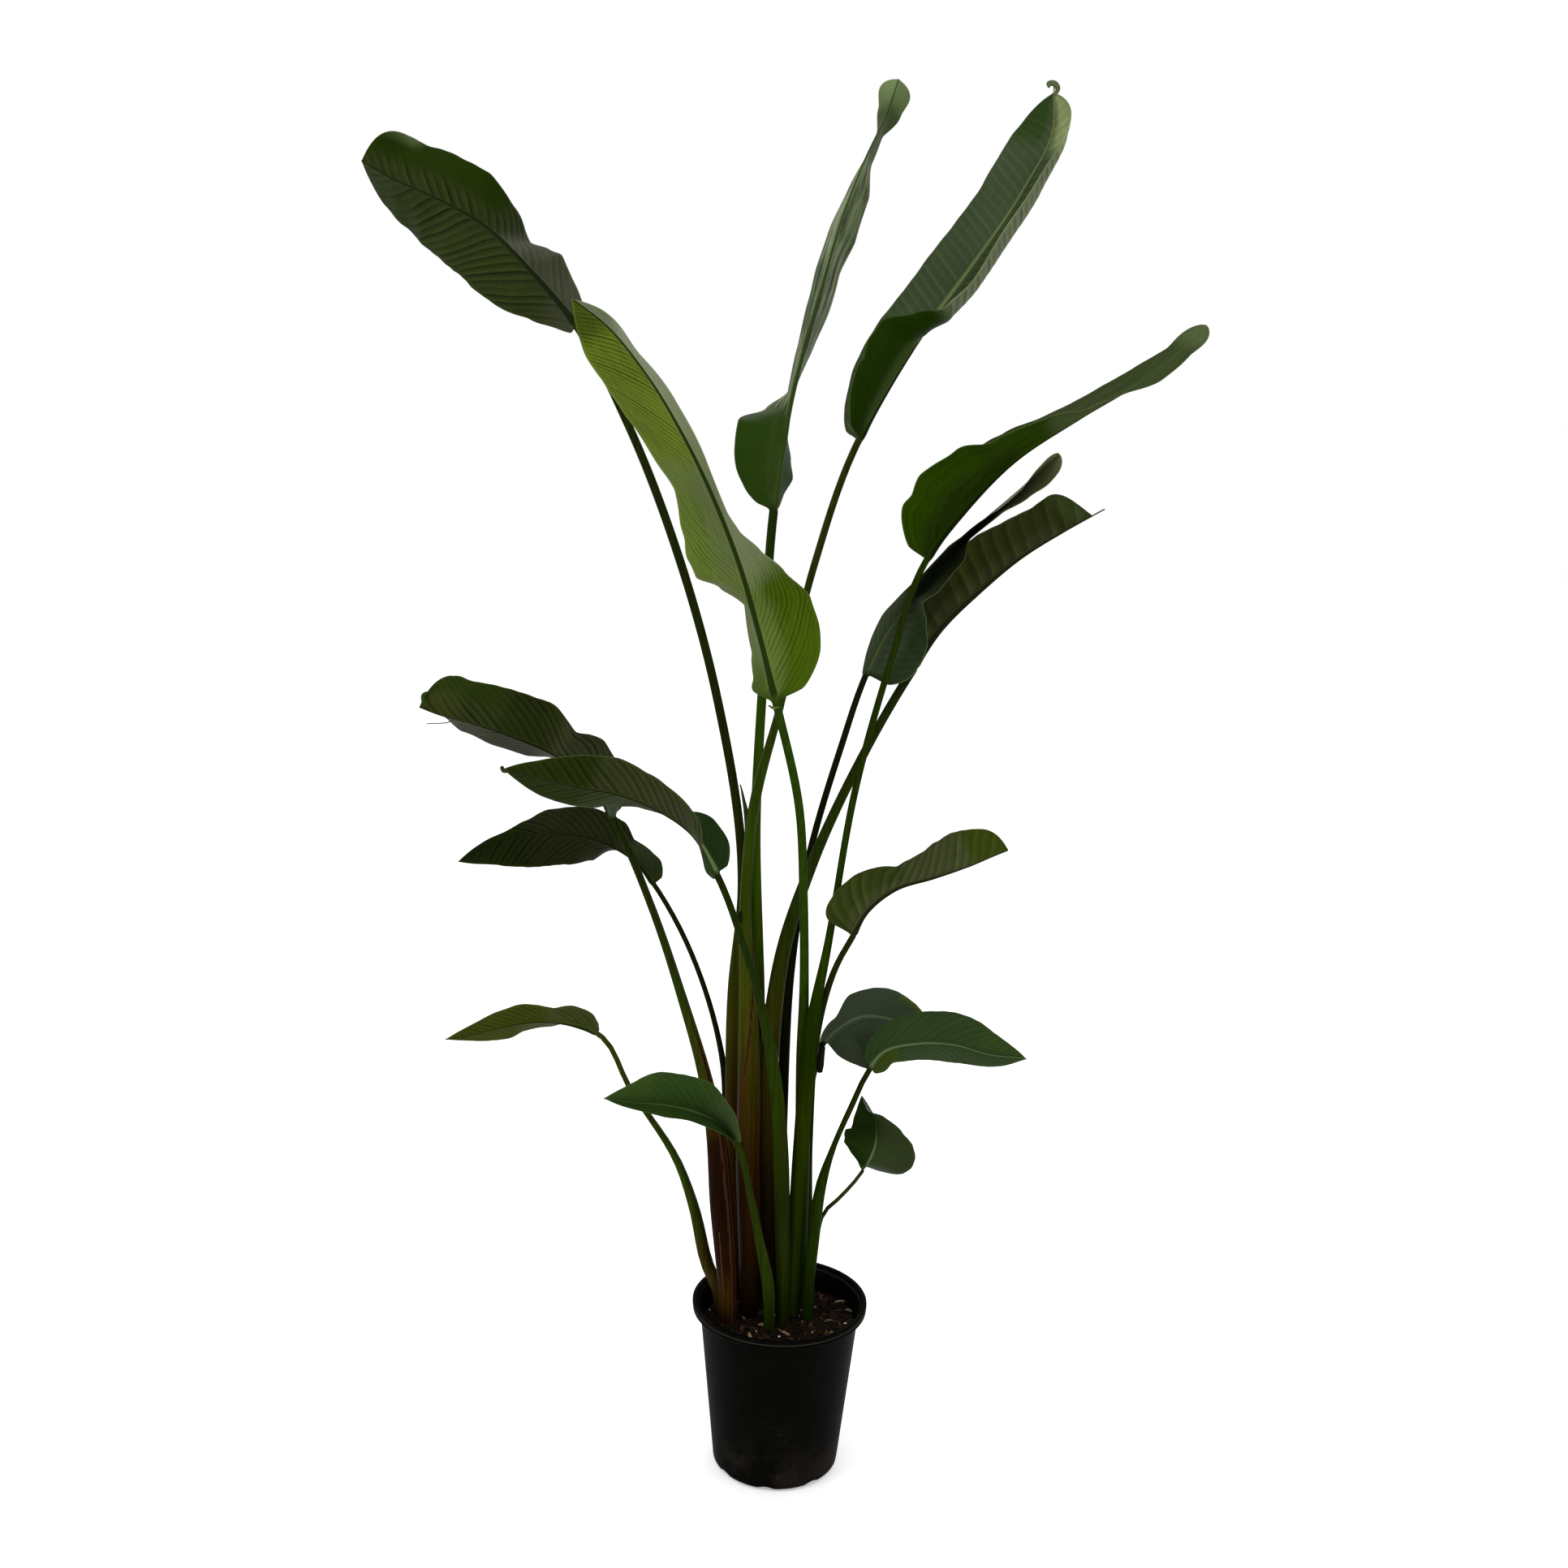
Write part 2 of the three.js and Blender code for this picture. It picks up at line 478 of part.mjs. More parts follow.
// Soil: fills the pot up to a lightly heaped top, with one plain straight hole per stalk.
function makeSoil() {
  const segments = 36;
  const edge = (wallRadius(SOIL_TOP) - POT_WALL) - GAP;
  const bump = (x, y) => SOIL_BUMP * (Math.sin(x / 17 + 1) * Math.cos(y / 14) * 0.6
    + Math.sin((x + 2 * y) / 23) * 0.4);
  const outline = [[0, POT_FLOOR + GAP], [FOOT_RADIUS - 2, POT_FLOOR + GAP],
    [BASE_RADIUS - POT_WALL - GAP, FOOT_RISE + GAP], [edge, SOIL_TOP - 2]];
  for (const share of [0.8, 0.6, 0.4, 0.2]) outline.push([edge * share, SOIL_TOP + 1]);
  outline.push([0, SOIL_TOP + 1]);
  const body = turned(outline, segments);
  const position = body.getAttribute('position');
  for (let i = 0; i < position.count; i++) {
    if (position.getZ(i) > SOIL_TOP) {
      const [x, y] = [position.getX(i), position.getY(i)];
      position.setZ(i, SOIL_TOP + 2 + bump(x, y));
    }
  }
  let soil = toManifold(body);
  for (const leaf of Object.values(LEAVES)) {
    const [x, y, halfWidth] = leaf.stalk[0];
    const [a, b] = turnAt(leaf.turn, 0);
    const sign = b > a ? 1 : -1;
    const toward = sideways(vec(0, 0, 1));
    const up = (a + b) / 2;
    const section = stalkRing(vec(x, y, 0), toward(up - 90 * sign), toward(up),
      halfWidth + GAP / STALK_FLAT);
    const hole = new wasm.CrossSection([section.map((p) => [p.x, p.y])], 'NonZero');
    soil = soil.subtract(hole.extrude(100).translate([0, 0, STALK_FOOT - GAP]));
  }
  return fromManifold(soil);
}

function piece(name, geometry, color, roughness) {
  const material = new THREE.MeshStandardMaterial({ color, roughness, metalness: 0 });
  material.name = name;
  const mesh = new THREE.Mesh(geometry, material);
  mesh.name = name;
  return mesh;
}

const plant = new THREE.Group();
plant.name = 'bird_of_paradise';
plant.add(piece('pot', makePot(), 0x1d1a19, 0.6));
plant.add(piece('soil', makeSoil(), 0x2a1f18, 0.95));
Object.entries(LEAVES).forEach(([name, leaf], order) => {
  plant.add(piece(name, skin(leafRings(leaf, order)), leaf.color, 0.55));
});

export default plant;
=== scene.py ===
# %% [markdown]
# A potted bird of paradise, dressed in Blender.
#
# The frame below is the measured model: a nursery pot, its soil and sixteen long leaves. Each of its
# solids is plain, so this script lays a finer piece over every one of them, keeps its form and gives
# it a finish. The frame comes first, because every piece rides on it.

# %% Load the frame
import json
import math

import bpy
import numpy as np
from mathutils import Matrix, Vector, noise

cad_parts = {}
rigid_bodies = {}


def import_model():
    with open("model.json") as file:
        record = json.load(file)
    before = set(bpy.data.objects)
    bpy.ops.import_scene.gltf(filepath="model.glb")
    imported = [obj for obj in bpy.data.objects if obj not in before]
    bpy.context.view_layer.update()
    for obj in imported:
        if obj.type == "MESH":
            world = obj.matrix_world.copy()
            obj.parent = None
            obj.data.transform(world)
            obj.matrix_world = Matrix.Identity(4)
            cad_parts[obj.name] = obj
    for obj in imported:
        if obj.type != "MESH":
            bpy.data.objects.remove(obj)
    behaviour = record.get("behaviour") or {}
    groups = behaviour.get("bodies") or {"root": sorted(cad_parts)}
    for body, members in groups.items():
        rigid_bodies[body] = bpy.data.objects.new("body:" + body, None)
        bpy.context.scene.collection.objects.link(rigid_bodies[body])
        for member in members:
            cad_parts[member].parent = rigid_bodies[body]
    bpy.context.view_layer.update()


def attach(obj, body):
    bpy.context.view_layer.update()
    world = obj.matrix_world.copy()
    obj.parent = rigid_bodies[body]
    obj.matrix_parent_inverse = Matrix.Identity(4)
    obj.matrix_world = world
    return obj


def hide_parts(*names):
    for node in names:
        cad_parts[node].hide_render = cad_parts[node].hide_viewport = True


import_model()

# %% [markdown]
# The camera stands where the photographer stood. The pot's rim and base are circles, and the flatter
# a circle looks the lower the eye is, so the two ellipses give height, distance and tilt. The view
# is turned by under two degrees, which a hand-held picture often is. Building the three axes of
# the camera by hand is the surest way to set a small roll.

# %% Camera
MM = 0.001
VIEW_SIDE, FOCAL_PIXELS = 1932, 1947
EYE = (-0.017, -2.115, 1.358)
SENSOR = 36
pitch, roll = math.radians(9.7), math.radians(1.8)

ahead = Vector((0, math.cos(pitch), -math.sin(pitch)))
level_up = Vector((0, math.sin(pitch), math.cos(pitch)))
level_right = Vector((1, 0, 0))
right = level_right * math.cos(roll) + level_up * math.sin(roll)
up = level_up * math.cos(roll) - level_right * math.sin(roll)

camera = bpy.data.objects.new("camera", bpy.data.cameras.new("camera"))
camera.data.sensor_width = SENSOR
camera.data.lens = SENSOR * FOCAL_PIXELS / VIEW_SIDE
turn = Matrix((right, up, -ahead)).transposed().to_4x4()
camera.matrix_world = Matrix.Translation(EYE) @ turn
bpy.context.scene.collection.objects.link(camera)
bpy.context.scene.camera = camera
print("lens", round(camera.data.lens, 2), "mm")

# %% [markdown]
# The plant is shown against plain white, so the stage is a pale floor under soft light. Large area
# lamps give the broad, blurred highlights that waxy leaves show, one from the left and above, a
# weaker one from the right, and one from behind so that the upper margins stand out.

# %% Floor and light
scene = bpy.context.scene
scene.view_settings.view_transform = "Standard"

world = bpy.data.worlds.new("pale_room")
world.use_nodes = True
world.node_tree.nodes["Background"].inputs["Color"].default_value = (1, 1, 1, 1)
world.node_tree.nodes["Background"].inputs["Strength"].default_value = 1.0
scene.world = world


def soft_lamp(name, place, aim, side, power):
    lamp = bpy.data.objects.new(name, bpy.data.lights.new(name, "AREA"))
    lamp.data.shape, lamp.data.size, lamp.data.energy = "DISK", side, power
    lamp.location = place
    lamp.rotation_euler = (Vector(aim) - Vector(place)).to_track_quat("-Z", "Y").to_euler()
    scene.collection.objects.link(lamp)


soft_lamp("key_left", (-2.0, -1.6, 3.4), (0, 0, 1.0), 1.6, 34)
soft_lamp("fill_right", (2.6, -1.8, 2.2), (0, 0, 0.9), 1.6, 12)
soft_lamp("back_high", (0.6, 2.4, 3.2), (0, 0, 1.2), 1.8, 16)

REACH = 30
floor = bpy.data.objects.new("floor", bpy.data.meshes.new("floor"))
floor.data.from_pydata([(x * REACH, y * REACH, 0) for x, y in ((-1, -1), (1, -1), (1, 1), (-1, 1))],
                       [], [(0, 1, 2, 3)])
scene.collection.objects.link(floor)

# %% [markdown]
# A node tree is easier to read when one line adds one node. The small helpers below take the kind of
# node, its settings and what goes into its sockets: a plain value, or an output of another node.
# Colours are written as they look on a screen, 0 to 255, and are turned into linear light.


# %% Helpers for node trees
def paint(red, green, blue):
    shown = [v / 255 for v in (red, green, blue)]
    return tuple(v / 12.92 if v <= 0.04045 else ((v + 0.055) / 1.055) ** 2.4 for v in shown) + (1.0,)


def feed(tree, node, inputs):
    for key, value in inputs.items():
        socket = node.inputs[key]
        if isinstance(value, bpy.types.NodeSocket):
            tree.links.new(value, socket)
        else:
            socket.default_value = value


def add(tree, kind, inputs=None, **settings):
    node = tree.nodes.new(kind)
    for key, value in settings.items():
        setattr(node, key, value)
    feed(tree, node, inputs or {})
    return node


def calc(tree, operation, a, b=0.0, c=0.0, clamp=False):
    return add(tree, "ShaderNodeMath", {0: a, 1: b, 2: c}, operation=operation, use_clamp=clamp).outputs[0]


def times(tree, a, b, clamp=False):
    return calc(tree, "MULTIPLY", a, b, clamp=clamp)


def ramp(tree, value, low, high, to_low=0.0, to_high=1.0):
    node = add(tree, "ShaderNodeMapRange", {"Value": value, "From Min": low, "From Max": high,
                                            "To Min": to_low, "To Max": to_high})
    node.interpolation_type = "SMOOTHSTEP"
    return node.outputs["Result"]


def blend(tree, share, first, second, mode="MIX"):
    return add(tree, "ShaderNodeMix", {0: share, 6: first, 7: second}, data_type="RGBA",
               blend_type=mode).outputs[2]


def between(tree, share, first, second):
    return add(tree, "ShaderNodeMix", {0: share, 2: first, 3: second}, data_type="FLOAT").outputs[0]


def scaled(tree, colour, factor):
    return add(tree, "ShaderNodeVectorMath", {0: colour, "Scale": factor}, operation="SCALE").outputs[0]


def read(tree, name):
    return add(tree, "ShaderNodeAttribute", attribute_name=name).outputs["Fac"]


def object_place(tree):
    return add(tree, "ShaderNodeTexCoord").outputs["Object"]


def rough_noise(tree, where, scale, detail=3.0, roughness=0.55):
    return add(tree, "ShaderNodeTexNoise", {"Vector": where, "Scale": scale, "Detail": detail,
                                            "Roughness": roughness}).outputs["Fac"]


print("a middle green in linear light:", [round(v, 3) for v in paint(40, 60, 30)])

# %% [markdown]
# An effect that several finishes share is a node group, built once with named inputs. Every finish
# then ends in the same four inputs of one surface: its tone, how rough it is, how much it shines,
# and a bump from a fine grain. The shine stays low throughout, because a white room is mirrored in
# each waxy face and would turn its colour grey. The floor glows a little, so that it stays white.


# %% Groups, materials and the floor's paint
def new_group(name, inputs, outputs):
    group = bpy.data.node_groups.new(name, "ShaderNodeTree")
    for label, kind, value in inputs:
        socket = group.interface.new_socket(label, in_out="INPUT", socket_type="NodeSocket" + kind)
        if value is not None:
            socket.default_value = value
    for label, kind in outputs:
        group.interface.new_socket(label, in_out="OUTPUT", socket_type="NodeSocket" + kind)
    return group, group.nodes.new("NodeGroupInput").outputs, group.nodes.new("NodeGroupOutput")


def effect(tree, group, sizes=None):
    return add(tree, "ShaderNodeGroup", sizes, node_tree=group).outputs


def new_material(name):
    material = bpy.data.materials.new(name)
    material.use_nodes = True
    tree = material.node_tree
    tree.nodes.clear()
    shader = add(tree, "ShaderNodeBsdfPrincipled")
    out = add(tree, "ShaderNodeOutputMaterial")
    tree.links.new(shader.outputs[0], out.inputs["Surface"])
    return material, tree, shader


def dress(tree, shader, tone, rough, shine, grain, strength, distance):
    bump = add(tree, "ShaderNodeBump", {"Strength": strength, "Distance": distance, "Height": grain})
    feed(tree, shader, {"Base Color": tone, "Roughness": rough, "Specular IOR Level": shine,
                        "Normal": bump.outputs[0]})


floor_paint, tree, shader = new_material("pale_floor")
feed(tree, shader, {"Base Color": paint(240, 240, 240), "Emission Color": (1, 1, 1, 1),
                    "Emission Strength": 0.3, "Roughness": 0.9})
floor.data.materials.append(floor_paint)
print("materials so far:", [material.name for material in bpy.data.materials])

# %% [markdown]
# Two effects are wanted on more than one surface. Fibres are long streaks that run up a stalk or
# a shred of bark: a noise that is stretched by squeezing its height. Specks are the dust, grit and
# water marks on pot, soil and leaf: a cell pattern cut off so that only few cells keep a dot. Each
# is a node group, so that a finish only sets its own sizes.

# %% Shared effects: fibres and specks
fibre_group, given, put = new_group(
    "long_fibres",
    [("Scale", "Float", 160.0), ("Stretch", "Float", 0.03), ("Contrast", "Float", 1.0)],
    [("Streaks", "Float"), ("Fine", "Float")])
tree = fibre_group
squeeze = add(tree, "ShaderNodeCombineXYZ", {0: 1.0, 1: 1.0, 2: given["Stretch"]}).outputs[0]
drawn = add(tree, "ShaderNodeVectorMath", {0: object_place(tree), 1: squeeze},
            operation="MULTIPLY").outputs[0]
centred = calc(tree, "SUBTRACT", rough_noise(tree, drawn, given["Scale"], 2.0), 0.5)
feed(tree, put, {"Streaks": calc(tree, "MULTIPLY_ADD", centred, given["Contrast"], 0.5, clamp=True),
                 "Fine": rough_noise(tree, drawn, times(tree, given["Scale"], 5.0))})

speck_group, given, put = new_group(
    "fine_specks",
    [("Scale", "Float", 300.0), ("Size", "Float", 0.2), ("Amount", "Float", 0.3)],
    [("Mask", "Float")])
tree = speck_group
where = object_place(tree)
bent = rough_noise(tree, where, 90.0)
shifted = add(tree, "ShaderNodeVectorMath", {0: where, 1: bent}, operation="ADD").outputs[0]
cells = add(tree, "ShaderNodeTexVoronoi", {"Vector": shifted, "Scale": given["Scale"]}).outputs
dot = ramp(tree, calc(tree, "DIVIDE", cells["Distance"], given["Size"]), 1.0, 0.6)
pick = add(tree, "ShaderNodeSeparateColor", {0: cells["Color"]}).outputs[0]
feed(tree, put, {"Mask": times(tree, dot, calc(tree, "LESS_THAN", pick, given["Amount"]))})
print("groups:", [g.name for g in bpy.data.node_groups])

# %% [markdown]
# Each leaf grew as one piece: a stalk that clasps its neighbours low down, thins to a round petiole
# and runs on as the midrib of a paddle-shaped blade. The two half blades stand at their own angles
# to the rib and turn along it, which gives the folds, cups and twists. So a leaf is measured as a
# course through a few points, with two angles that change along the blade.
#
# The numbers are those of the measured model, in millimetres. Stalk rows are x, y, z and half
# width, and the first row stands at the collar in the soil. Rib rows are x, y, z. Half is the reach
# of either half blade, and widest, tip, round, lobe and bare shape its outline. Wave is the height
# of the ripple at the margin. Turn rows are a place along the blade from 0 to 1, the angle of
# either half and, where it has one, how far either half curls.

# %% Measurements of the leaves
COLLAR, STALK_FOOT, STALK_FLAT, BLADE = 222, 178, 0.85, 1.0
LEAVES = {
    "leaf_upper_left": {
        "stalk": [[-62, 54, 13], [-72, 60, 465, 14], [-76, 62, 690, 12.5], [-70, 57, 830, 8],
          [-113, 54, 1105, 6.2], [-168, 58, 1290, 6], [-245, 68, 1475, 5.6]],
        "rib": [[-313, 82, 1595], [-375, 98, 1665], [-450, 115, 1732], [-525, 132, 1770],
          [-580, 145, 1793], [-620, 152, 1815]],
        "half": [74, 82], "widest": 0.42, "tip": 12, "round": 0.5, "lobe": 0.1, "wave": 2,
        "turn": [[0, -65, -118], [0.1, -58, -119], [0.2, -58, -131], [0.28, -52, -146],
          [0.33, -60, -152], [0.4, -69, -156], [0.5, -50, -152], [0.6, -30, -150], [0.75, -26, -139],
          [0.85, -28, -124], [0.92, -22, -116], [1, 10, -112]],
    },
    "leaf_bright": {
        "stalk": [[26, 39, 10.5], [25, 41, 480, 10.5], [21, 35, 600, 9], [20, 10, 705, 6.8],
          [14, -25, 852, 6], [5, -55, 969, 5.8]],
        "rib": [[-30, -105, 1119], [-51, -135, 1200], [-87, -180, 1314], [-147, -240, 1444],
          [-184, -280, 1504], [-230, -320, 1557], [-262, -347, 1579]],
        "half": [88, 84], "widest": 0.18, "tip": 6, "lobe": 0.45, "wave": 3,
        "turn": [[0, -35, -125], [0.1, -28, -102], [0.2, -36, -99], [0.25, -57, -117], [0.3, -72, -137],
          [0.35, -82, -138], [0.4, -85, -130], [0.5, -86, -119], [0.6, -86, -127], [0.7, -84, -131],
          [0.8, -84, -131], [0.9, -79, -141], [1, -76, -148]],
    },
    "leaf_spire": {
        "stalk": [[-30, 72, 11.5], [-40, 75, 470, 12], [-46, 74, 700, 9.5], [-55, 62, 930, 7.2],
          [-50, 60, 1150, 6.5]],
        "rib": [[-43, 66, 1358], [-35, 74, 1432], [-25, 80, 1502], [-11, 85, 1567], [9, 92, 1643],
          [37, 102, 1750], [66, 108, 1830], [92, 112, 1888], [106, 115, 1932]],
        "half": [66, 66], "widest": 0.17, "tip": 14, "round": 0.5, "lobe": 0.1, "wave": 2,
        "turn": [[0, -78, -120], [0.06, -78, -150], [0.1, -72, -165], [0.14, -80, -180],
          [0.19, -88, -182], [0.24, -88, -122], [0.29, -88, -98], [0.4, -80, -98], [0.5, -76, -103],
          [0.58, -76, -106], [0.66, -66, -103], [0.76, -68, -96], [0.84, -84, -93], [0.9, -87, -95],
          [0.95, -66, -112], [1, -30, -150]],
    },
    "leaf_upper_right": {
        "stalk": [[-44, 22, 17], [-52, 26, 465, 20], [-55, 28, 600, 18.5], [-61, 27, 720, 13],
          [-66, 25, 826, 9.5], [-56, 22, 970, 9], [-28, 22, 1089, 6.5], [14, 34, 1290, 6]],
        "rib": [[67, 48, 1455], [104, 58, 1526], [158, 72, 1615], [215, 86, 1697], [277, 98, 1794],
          [312, 100, 1871], [310, 95, 1927]],
        "half": [74, 78], "widest": 0.22, "tip": 9, "round": 0.8, "lobe": 0.15, "bare": 0.02, "wave": 1.5,
        "turn": [[0, 102, 238, 40, 0], [0.1, 105, 234, 60, 0], [0.2, 109, 226, 60, 0],
          [0.26, 105, 222, 75, 0], [0.31, 60, 221, 105, 0], [0.36, 28, 224, 116, 0],
          [0.45, 18, 226, 122, 0], [0.6, 20, 228, 126, 0], [0.7, 22, 228, 120, 0],
          [0.8, 30, 226, 105, 0], [0.88, 32, 220, 90, 0], [1, 10, 208, 60, 0]],
    },
    "leaf_right_high": {
        "stalk": [[18, 12, 11.5], [24, 13, 480, 13.5], [30, 6, 603, 13.5], [37, 0, 690, 10],
          [48, -3, 760, 7.5], [82, -14, 1009, 6], [121, -20, 1175, 5.5]],
        "rib": [[159, -26, 1302], [205, -30, 1367], [264, -36, 1432], [346, -44, 1490],
          [418, -50, 1536], [463, -54, 1573], [496, -56, 1608]],
        "half": [80, 82], "widest": 0.18, "tip": 4.4, "round": 0.6, "lobe": 0.25, "wave": 2,
        "turn": [[0, 135, 225], [0.1, 160, 234], [0.2, 154, 232], [0.3, 136, 236], [0.36, 121, 242],
          [0.4, 117, 246], [0.5, 108, 254], [0.6, 94, 255], [0.7, 91, 254], [0.8, 83, 257],
          [0.9, 80, 259], [1, 60, 240]],
    },
    "leaf_right_back": {
        "stalk": [[0, 80, 8], [-4, 90, 500, 8.5], [0, 97, 705, 7.5], [23, 99, 880, 5.2],
          [63, 94, 1040, 4.8]],
        "rib": [[92, 88, 1138], [118, 84, 1198], [150, 82, 1245], [190, 84, 1299], [239, 90, 1350],
          [296, 98, 1402], [347, 106, 1451]],
        "half": [64, 50], "widest": 0.15, "tip": 5, "round": 0.6, "lobe": 0.3, "wave": 2,
        "turn": [[0, 30, 106], [0.05, 20, 108], [0.1, 15, 110], [0.16, 15, 112], [0.22, 32, 115],
          [0.28, 62, 113], [0.32, 84, 112], [0.38, 76, 108], [0.5, 74, 104], [0.56, 88, 98],
          [0.7, 88, 93], [0.8, 78, 95], [0.9, 63, 103], [1, 50, 114]],
    },
    "leaf_right_dark": {
        "stalk": [[-14, 44, 11.5], [-23, 48, 420, 12.5], [-25, 52, 620, 13.5], [-9, 58, 755, 10.5],
          [28, 66, 877, 8], [81, 88, 1000, 6.8]],
        "rib": [[161, 125, 1146], [196, 138, 1199], [254, 158, 1257], [313, 178, 1306],
          [381, 200, 1348], [436, 218, 1379]],
        "half": [60, 72], "widest": 0.35, "tip": 30, "round": 0.6, "lobe": 0.1, "bare": 0.06, "wave": 2,
        "turn": [[0, -95, -125], [0.2, -95, -140], [0.3, -95, -154], [0.5, -94, -149],
          [0.65, -94, -139], [0.8, -95, -134], [0.9, -96, -137], [1, -97, -139]],
    },
    "leaf_left_top": {
        "stalk": [[-74, -10, 15], [-88, -2, 400, 19], [-99, 4, 500, 15.5], [-114, 12, 568, 11.5],
          [-149, 14, 683, 8], [-194, 10, 815, 6.2]],
        "rib": [[-249, 5, 941], [-279, 0, 993], [-326, -8, 1028], [-374, -16, 1049], [-429, -26, 1068],
          [-480, -34, 1082], [-503, -37, 1091]],
        "half": [72, 66], "widest": 0.42, "tip": 8.5, "round": 0.5, "lobe": 0.2, "wave": 1.5,
        "turn": [[0, 75, -45], [0.12, 50, -60], [0.2, 36, -80], [0.28, 30, -98], [0.38, 46, -108],
          [0.5, 22, -116], [0.65, 24, -120], [0.8, 32, -112], [0.9, 22, -100], [1, 0, -95]],
    },
    "leaf_left_middle": {
        "stalk": [[4, -12, 9.5], [0, -12, 360, 11.5], [-5, -13, 460, 12], [-15, -18, 571, 10],
          [-40, -34, 698, 6.5], [-66, -47, 785, 5.2]],
        "rib": [[-102, -66, 882], [-136, -80, 941], [-182, -98, 975], [-223, -115, 994],
          [-280, -140, 1008], [-333, -165, 1024], [-366, -180, 1035]],
        "half": [56, 50], "widest": 0.35, "tip": 3.2, "lobe": 0.35, "wave": 2,
        "turn": [[0, 100, -10], [0.08, 100, -20], [0.17, 88, -50], [0.28, 60, -106], [0.4, 47, -110],
          [0.5, 34, -121], [0.6, 20, -134], [0.75, 15, -137], [0.9, 15, -142], [1, 0, -142]],
    },
    "leaf_left_low_arch": {
        "stalk": [[-50, 80, 6.5], [-84, 88, 455, 7], [-95, 92, 575, 5.5], [-125, 90, 685, 4.8],
          [-172, 84, 790, 4.6]],
        "rib": [[-197, 80, 831], [-225, 72, 868], [-266, 60, 894], [-309, 44, 908], [-360, 22, 912],
          [-411, -4, 903], [-455, -25, 880]],
        "half": [51, 50], "widest": 0.35, "tip": 3.6, "lobe": 0.2, "wave": 2,
        "turn": [[0, 25, -40], [0.1, 28, -60], [0.15, 40, -70], [0.24, 50, -114], [0.3, 30, -140],
          [0.45, 20, -164], [0.6, 38, -178], [0.7, 56, -180], [0.8, 66, -182], [0.9, 68, -180],
          [1, 66, -180]],
    },
    "leaf_left_front": {
        "stalk": [[-87, 26, 9.5], [-110, 30, 290, 10.5], [-128, 34, 366, 9], [-148, 34, 424, 7],
          [-223, 24, 549, 4.5]],
        "rib": [[-268, 18, 628], [-298, 12, 641], [-342, 4, 649], [-391, -6, 644], [-435, -15, 634],
          [-474, -22, 627]],
        "half": [36, 32], "widest": 0.28, "tip": 2.1, "lobe": 0.2, "wave": 1.5,
        "turn": [[0, 50, -30], [0.1, 15, -60], [0.2, 24, -108], [0.32, 40, -120], [0.5, 20, -132],
          [0.6, 24, -148], [0.8, 18, -152], [1, 15, -148]],
    },
    "leaf_left_small": {
        "stalk": [[-14, -30, 8], [-18, -30, 289, 9], [-28, -30, 333, 7], [-45, -28, 410, 5]],
        "rib": [[-69, -34, 496], [-93, -42, 526], [-127, -52, 545], [-168, -62, 557],
          [-209, -72, 563], [-247, -80, 571]],
        "half": [54, 32], "widest": 0.45, "tip": 2.4, "lobe": 0.2, "wave": 1.5,
        "turn": [[0, 65, 85], [0.12, 56, 87], [0.25, 38, 91], [0.4, 14, 95], [0.7, 5, 96], [1, 10, 95]],
    },
    "leaf_right_middle": {
        "stalk": [[42, 60, 6], [35, 62, 470, 6], [38, 50, 596, 5.6], [48, 25, 680, 5.2],
          [64, -8, 748, 4.6]],
        "rib": [[83, -38, 797], [98, -43, 829], [136, -46, 864], [189, -54, 885], [236, -60, 905],
          [262, -65, 919], [282, -68, 929]],
        "half": [44, 50], "widest": 0.12, "tip": 14, "round": 0.5, "lobe": 0.3, "wave": 1.5,
        "turn": [[0, -80, -155], [0.08, -85, -175], [0.22, -90, -152], [0.32, -92, -130],
          [0.39, -92, -113], [0.44, -92, -117], [0.55, -92, -126], [0.65, -90, -144],
          [0.76, -90, -170], [0.9, -90, -188], [1, -90, -190]],
    },
    "leaf_right_low_back": {
        "stalk": [[32, 76, 6], [30, 78, 467, 6], [39, 73, 560, 5.6]],
        "rib": [[52, 68, 610], [73, 70, 632], [106, 76, 647], [144, 84, 643], [181, 92, 624],
          [206, 98, 601]],
        "half": [78, 54], "widest": 0.35, "tip": 2.4, "lobe": 0.35, "wave": 1.5,
        "turn": [[0, 5, 112], [0.2, 5, 122], [0.32, 15, 150], [0.5, 25, 158], [1, 25, 158]],
    },
    "leaf_right_low_front": {
        "stalk": [[40, 0, 8.5], [46, 2, 340, 9.5], [55, 6, 425, 8], [66, 10, 464, 5],
          [93, 8, 538, 4.4]],
        "rib": [[116, 4, 594], [133, 0, 619], [177, -8, 636], [229, -18, 640], [279, -28, 631],
          [328, -36, 630]],
        "half": [46, 47], "widest": 0.42, "tip": 2.6, "lobe": 0.25, "wave": 1.5,
        "turn": [[0, 64, 225], [0.1, 66, 228], [0.15, 72, 230], [0.22, 84, 228], [0.3, 82, 222],
          [0.4, 80, 216], [0.5, 80, 210], [0.7, 76, 212], [0.88, 78, 210], [1, 80, 200]],
    },
    "leaf_right_bottom": {
        "stalk": [[48, 24, 3.6], [51, 24, 330, 3.6], [60, 20, 370, 3.5], [82, 8, 400, 3.3]],
        "rib": [[112, 6, 441], [124, 14, 461], [131, 26, 482], [130, 40, 502], [120, 52, 519],
          [109, 60, 533]],
        "half": [60, 48], "widest": 0.25, "tip": 3, "lobe": 0, "wave": 1.5,
        "turn": [[0, -80, 110], [0.06, -72, 125], [0.12, -50, 152], [0.2, -16, 168], [0.28, 0, 170],
          [0.33, 14, 172], [0.38, 34, 174], [0.45, 60, 175], [0.55, 78, 176], [0.7, 86, 177],
          [1, 90, 178]],
    },
}
print(len(LEAVES), "leaves")

